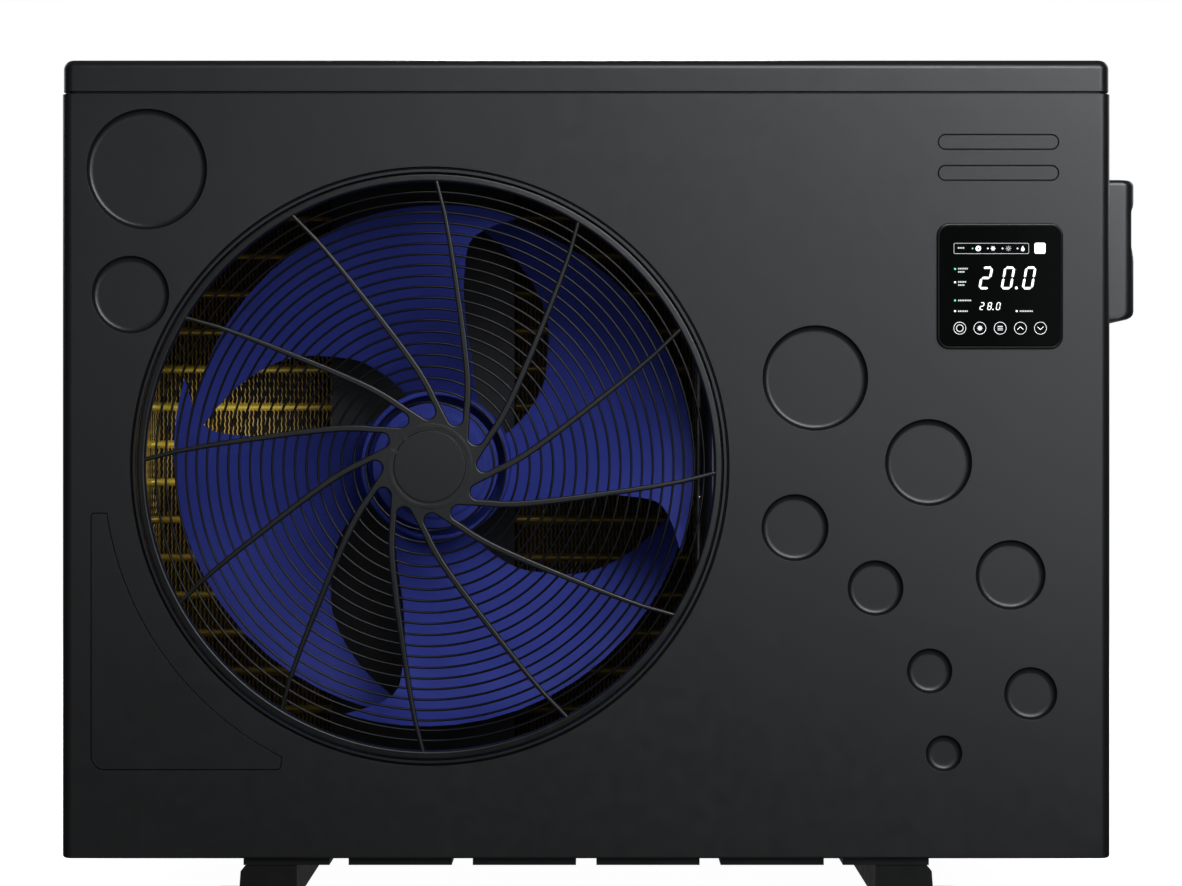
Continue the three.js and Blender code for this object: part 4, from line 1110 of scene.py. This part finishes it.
def unions():
    for name, port in zip(("inlet", "outlet"), PORTS):
        low, high = cad_box(f"{name}_union_nut")
        nut = Skin()
        plan = []
        for k in range(160):
            angle = TAU * k / 160
            swing = math.cos(8 * (angle - math.radians(5.6)))
            lug = min(1.0, max(0.0, 0.5 + 1.3 * swing))
            plan.append((39 + 4 * lug * lug * (3 - 2 * lug), angle))
        levels = [(1.6, low.y), (0.5, low.y + 0.5), (0, low.y + 1.8), (0, high.y - 2.4),
                  (0.8, high.y - 0.8), (2.4, high.y)]
        loops = [nut.loop((port.x + (r - inset) * math.cos(a), y, port.z + (r - inset) * math.sin(a))
                          for r, a in plan) for inset, y in levels]
        nut.tube(loops)
        bore = nut.spin([(32, low.y), (31.8, low.y + 0.4), (31.8, 425), (29.8, 425), (29.8, high.y - 0.4),
                         (30.3, high.y)], (port.x, 0, port.z), "y", 96)
        nut.planar(loops[0], [bore[0]])
        nut.planar(loops[-1], [bore[-1]])
        nut.stand_for(f"{name}_union_nut", "black_plastic", BLACK, body=f"{name}_nut")

        tail_low, tail_high = cad_box(f"water_{name}_tail")
        end = tail_high.y
        tail = Skin()
        tail.spin([(24, tail_low.y), (31, tail_low.y), (31, 424), (29, 424), (29, end - 7.5),
                   (29.4, end - 7), (29.4, end - 1), (28.7, end), (26.4, end), (25.4, end - 1.2),
                   (25.15, end - 3), (25.15, 426), (24, 426)], (port.x, 0, port.z), "y", 96, closed=True)
        tail.stand_for(f"water_{name}_tail", "pvc", PVC)


# ---- Feet ----


def feet():
    for side in ("left", "right"):
        for end in ("front", "rear"):
            node = f"rubber_pad_{end}_{side}"
            low, high = cad_box(node)
            skin = Skin()
            skin.box(tuple(low), tuple(high), 1.4)
            skin.stand_for(node, "rubber", RUBBER)


top_cover()
side_panels()
rear_panels()
casing_screws()
fan_guard()
guard_rings()
fan()
evaporator()
controller()
display_marks()
terminal_cover()
cable_gland()
unions()
feet()

# ---- Camera, lights and floor ----

# Distance from the front face, sideways shift, height over the panel's lower edge, width in view there
CAMERA_BACK = 2600.0
CAMERA_SIDE = 4.6
CAMERA_UP = 395.7
FRAME_W = 1125.3


def add_camera():
    data = bpy.data.cameras.new("camera")
    data.sensor_width = 36
    data.lens = 36 * CAMERA_BACK / FRAME_W
    camera = add_object("camera", data)
    camera.location = in_cabinet(CAMERA_SIDE, -CAMERA_BACK, PANEL_BOTTOM + CAMERA_UP)
    camera.rotation_euler = (math.pi / 2, 0, 0)
    bpy.context.scene.camera = camera


def add_area_light(name, place, target, size, power, colour=(1, 1, 1)):
    data = bpy.data.lights.new(name, "AREA")
    data.shape = "RECTANGLE"
    data.size, data.size_y = size
    data.energy = power
    data.color = colour
    light = add_object(name, data)
    light.visible_camera = False
    light.location = place
    light.rotation_euler = (Vector(target) - Vector(place)).to_track_quat("-Z", "Y").to_euler()


WHITE_LIGHT = (1, 1, 1, 1)


def add_floor():
    mesh = bpy.data.meshes.new("floor")
    reach = 14.0
    mesh.from_pydata([(-reach, -reach, 0), (reach, -reach, 0), (reach, reach, 0), (-reach, reach, 0)], [],
                     [(0, 1, 2, 3)])
    pale = shader("floor", (0.6, 0.6, 0.6), 0.9, tint_spread=0.01, specular=0.0)
    set_inputs(pale.node_tree.nodes["Principled BSDF"], Emission_Color=WHITE_LIGHT, Emission_Strength=0.98)
    mesh.materials.append(pale)
    floor = add_object("floor", mesh)
    floor.visible_glossy = False
    floor.visible_diffuse = False


def add_world():
    """Seen directly the surroundings are white; as a light they are dim, and darker to the sides."""
    world = bpy.data.worlds.new("studio")
    bpy.context.scene.world = world
    world.use_nodes = True
    nodes, links = world.node_tree.nodes, world.node_tree.links
    sky = nodes["Background"]
    set_inputs(sky, Color=WHITE_LIGHT)
    way = nodes.new("ShaderNodeTexCoord")
    apart = nodes.new("ShaderNodeSeparateXYZ")
    links.new(way.outputs["Generated"], apart.inputs["Vector"])
    sideways = nodes.new("ShaderNodeMath")
    sideways.operation = "ABSOLUTE"
    links.new(apart.outputs["X"], sideways.inputs["Value"])
    dim = add_node(nodes, "MapRange", From_Min=0.5, From_Max=0.85, To_Min=0.11, To_Max=0.03)
    links.new(sideways.outputs["Value"], dim.inputs["Value"])
    links.new(dim.outputs["Result"], sky.inputs["Strength"])
    white = add_node(nodes, "Background", Color=WHITE_LIGHT, Strength=1.0)
    seen = nodes.new("ShaderNodeLightPath")
    mix = nodes.new("ShaderNodeMixShader")
    links.new(seen.outputs["Is Camera Ray"], mix.inputs["Fac"])
    links.new(sky.outputs["Background"], mix.inputs[1])
    links.new(white.outputs["Background"], mix.inputs[2])
    links.new(mix.outputs["Shader"], nodes["World Output"].inputs["Surface"])


add_camera()
add_floor()
add_world()
# Lights are placed in the frame's metres
MIDDLE = (0, 0, 0.45)
COOL = (0.97, 1.0, 1.04)
LIGHTS = [
    ("right high", (1.5, -2.5, 1.6), 23.6), ("right low", (1.3, -2.6, 0.6), 4.6),
    ("top", (0.8, -2.7, 2.1), 32.8), ("top front", (0.1, -2.7, 2.5), 16.2),
    ("low front", (0.8, -2.7, 0.6), 2.4), ("front fill", (0.0, -2.7, 0.8), 2.2),
    ("left fill", (-0.8, -2.7, 0.8), 1.0),
]
for name, place, power in LIGHTS:
    add_area_light(name, place, MIDDLE, (1.1, 1.1), power, COOL)
add_area_light("back", (0.0, 2.8, 1.9), MIDDLE, (0.8, 0.8), 45)
for name, x in (("back left", -2.4), ("back right", 2.4)):
    add_area_light(name, (x, 1.6, 1.6), MIDDLE, (1.6, 1.6), 10)
add_area_light("behind the fan", in_cabinet(-375, 280, 445), in_cabinet(-375, 344, 445), (0.16, 0.10), 0.035)
bpy.context.scene.view_settings.view_transform = "Standard"
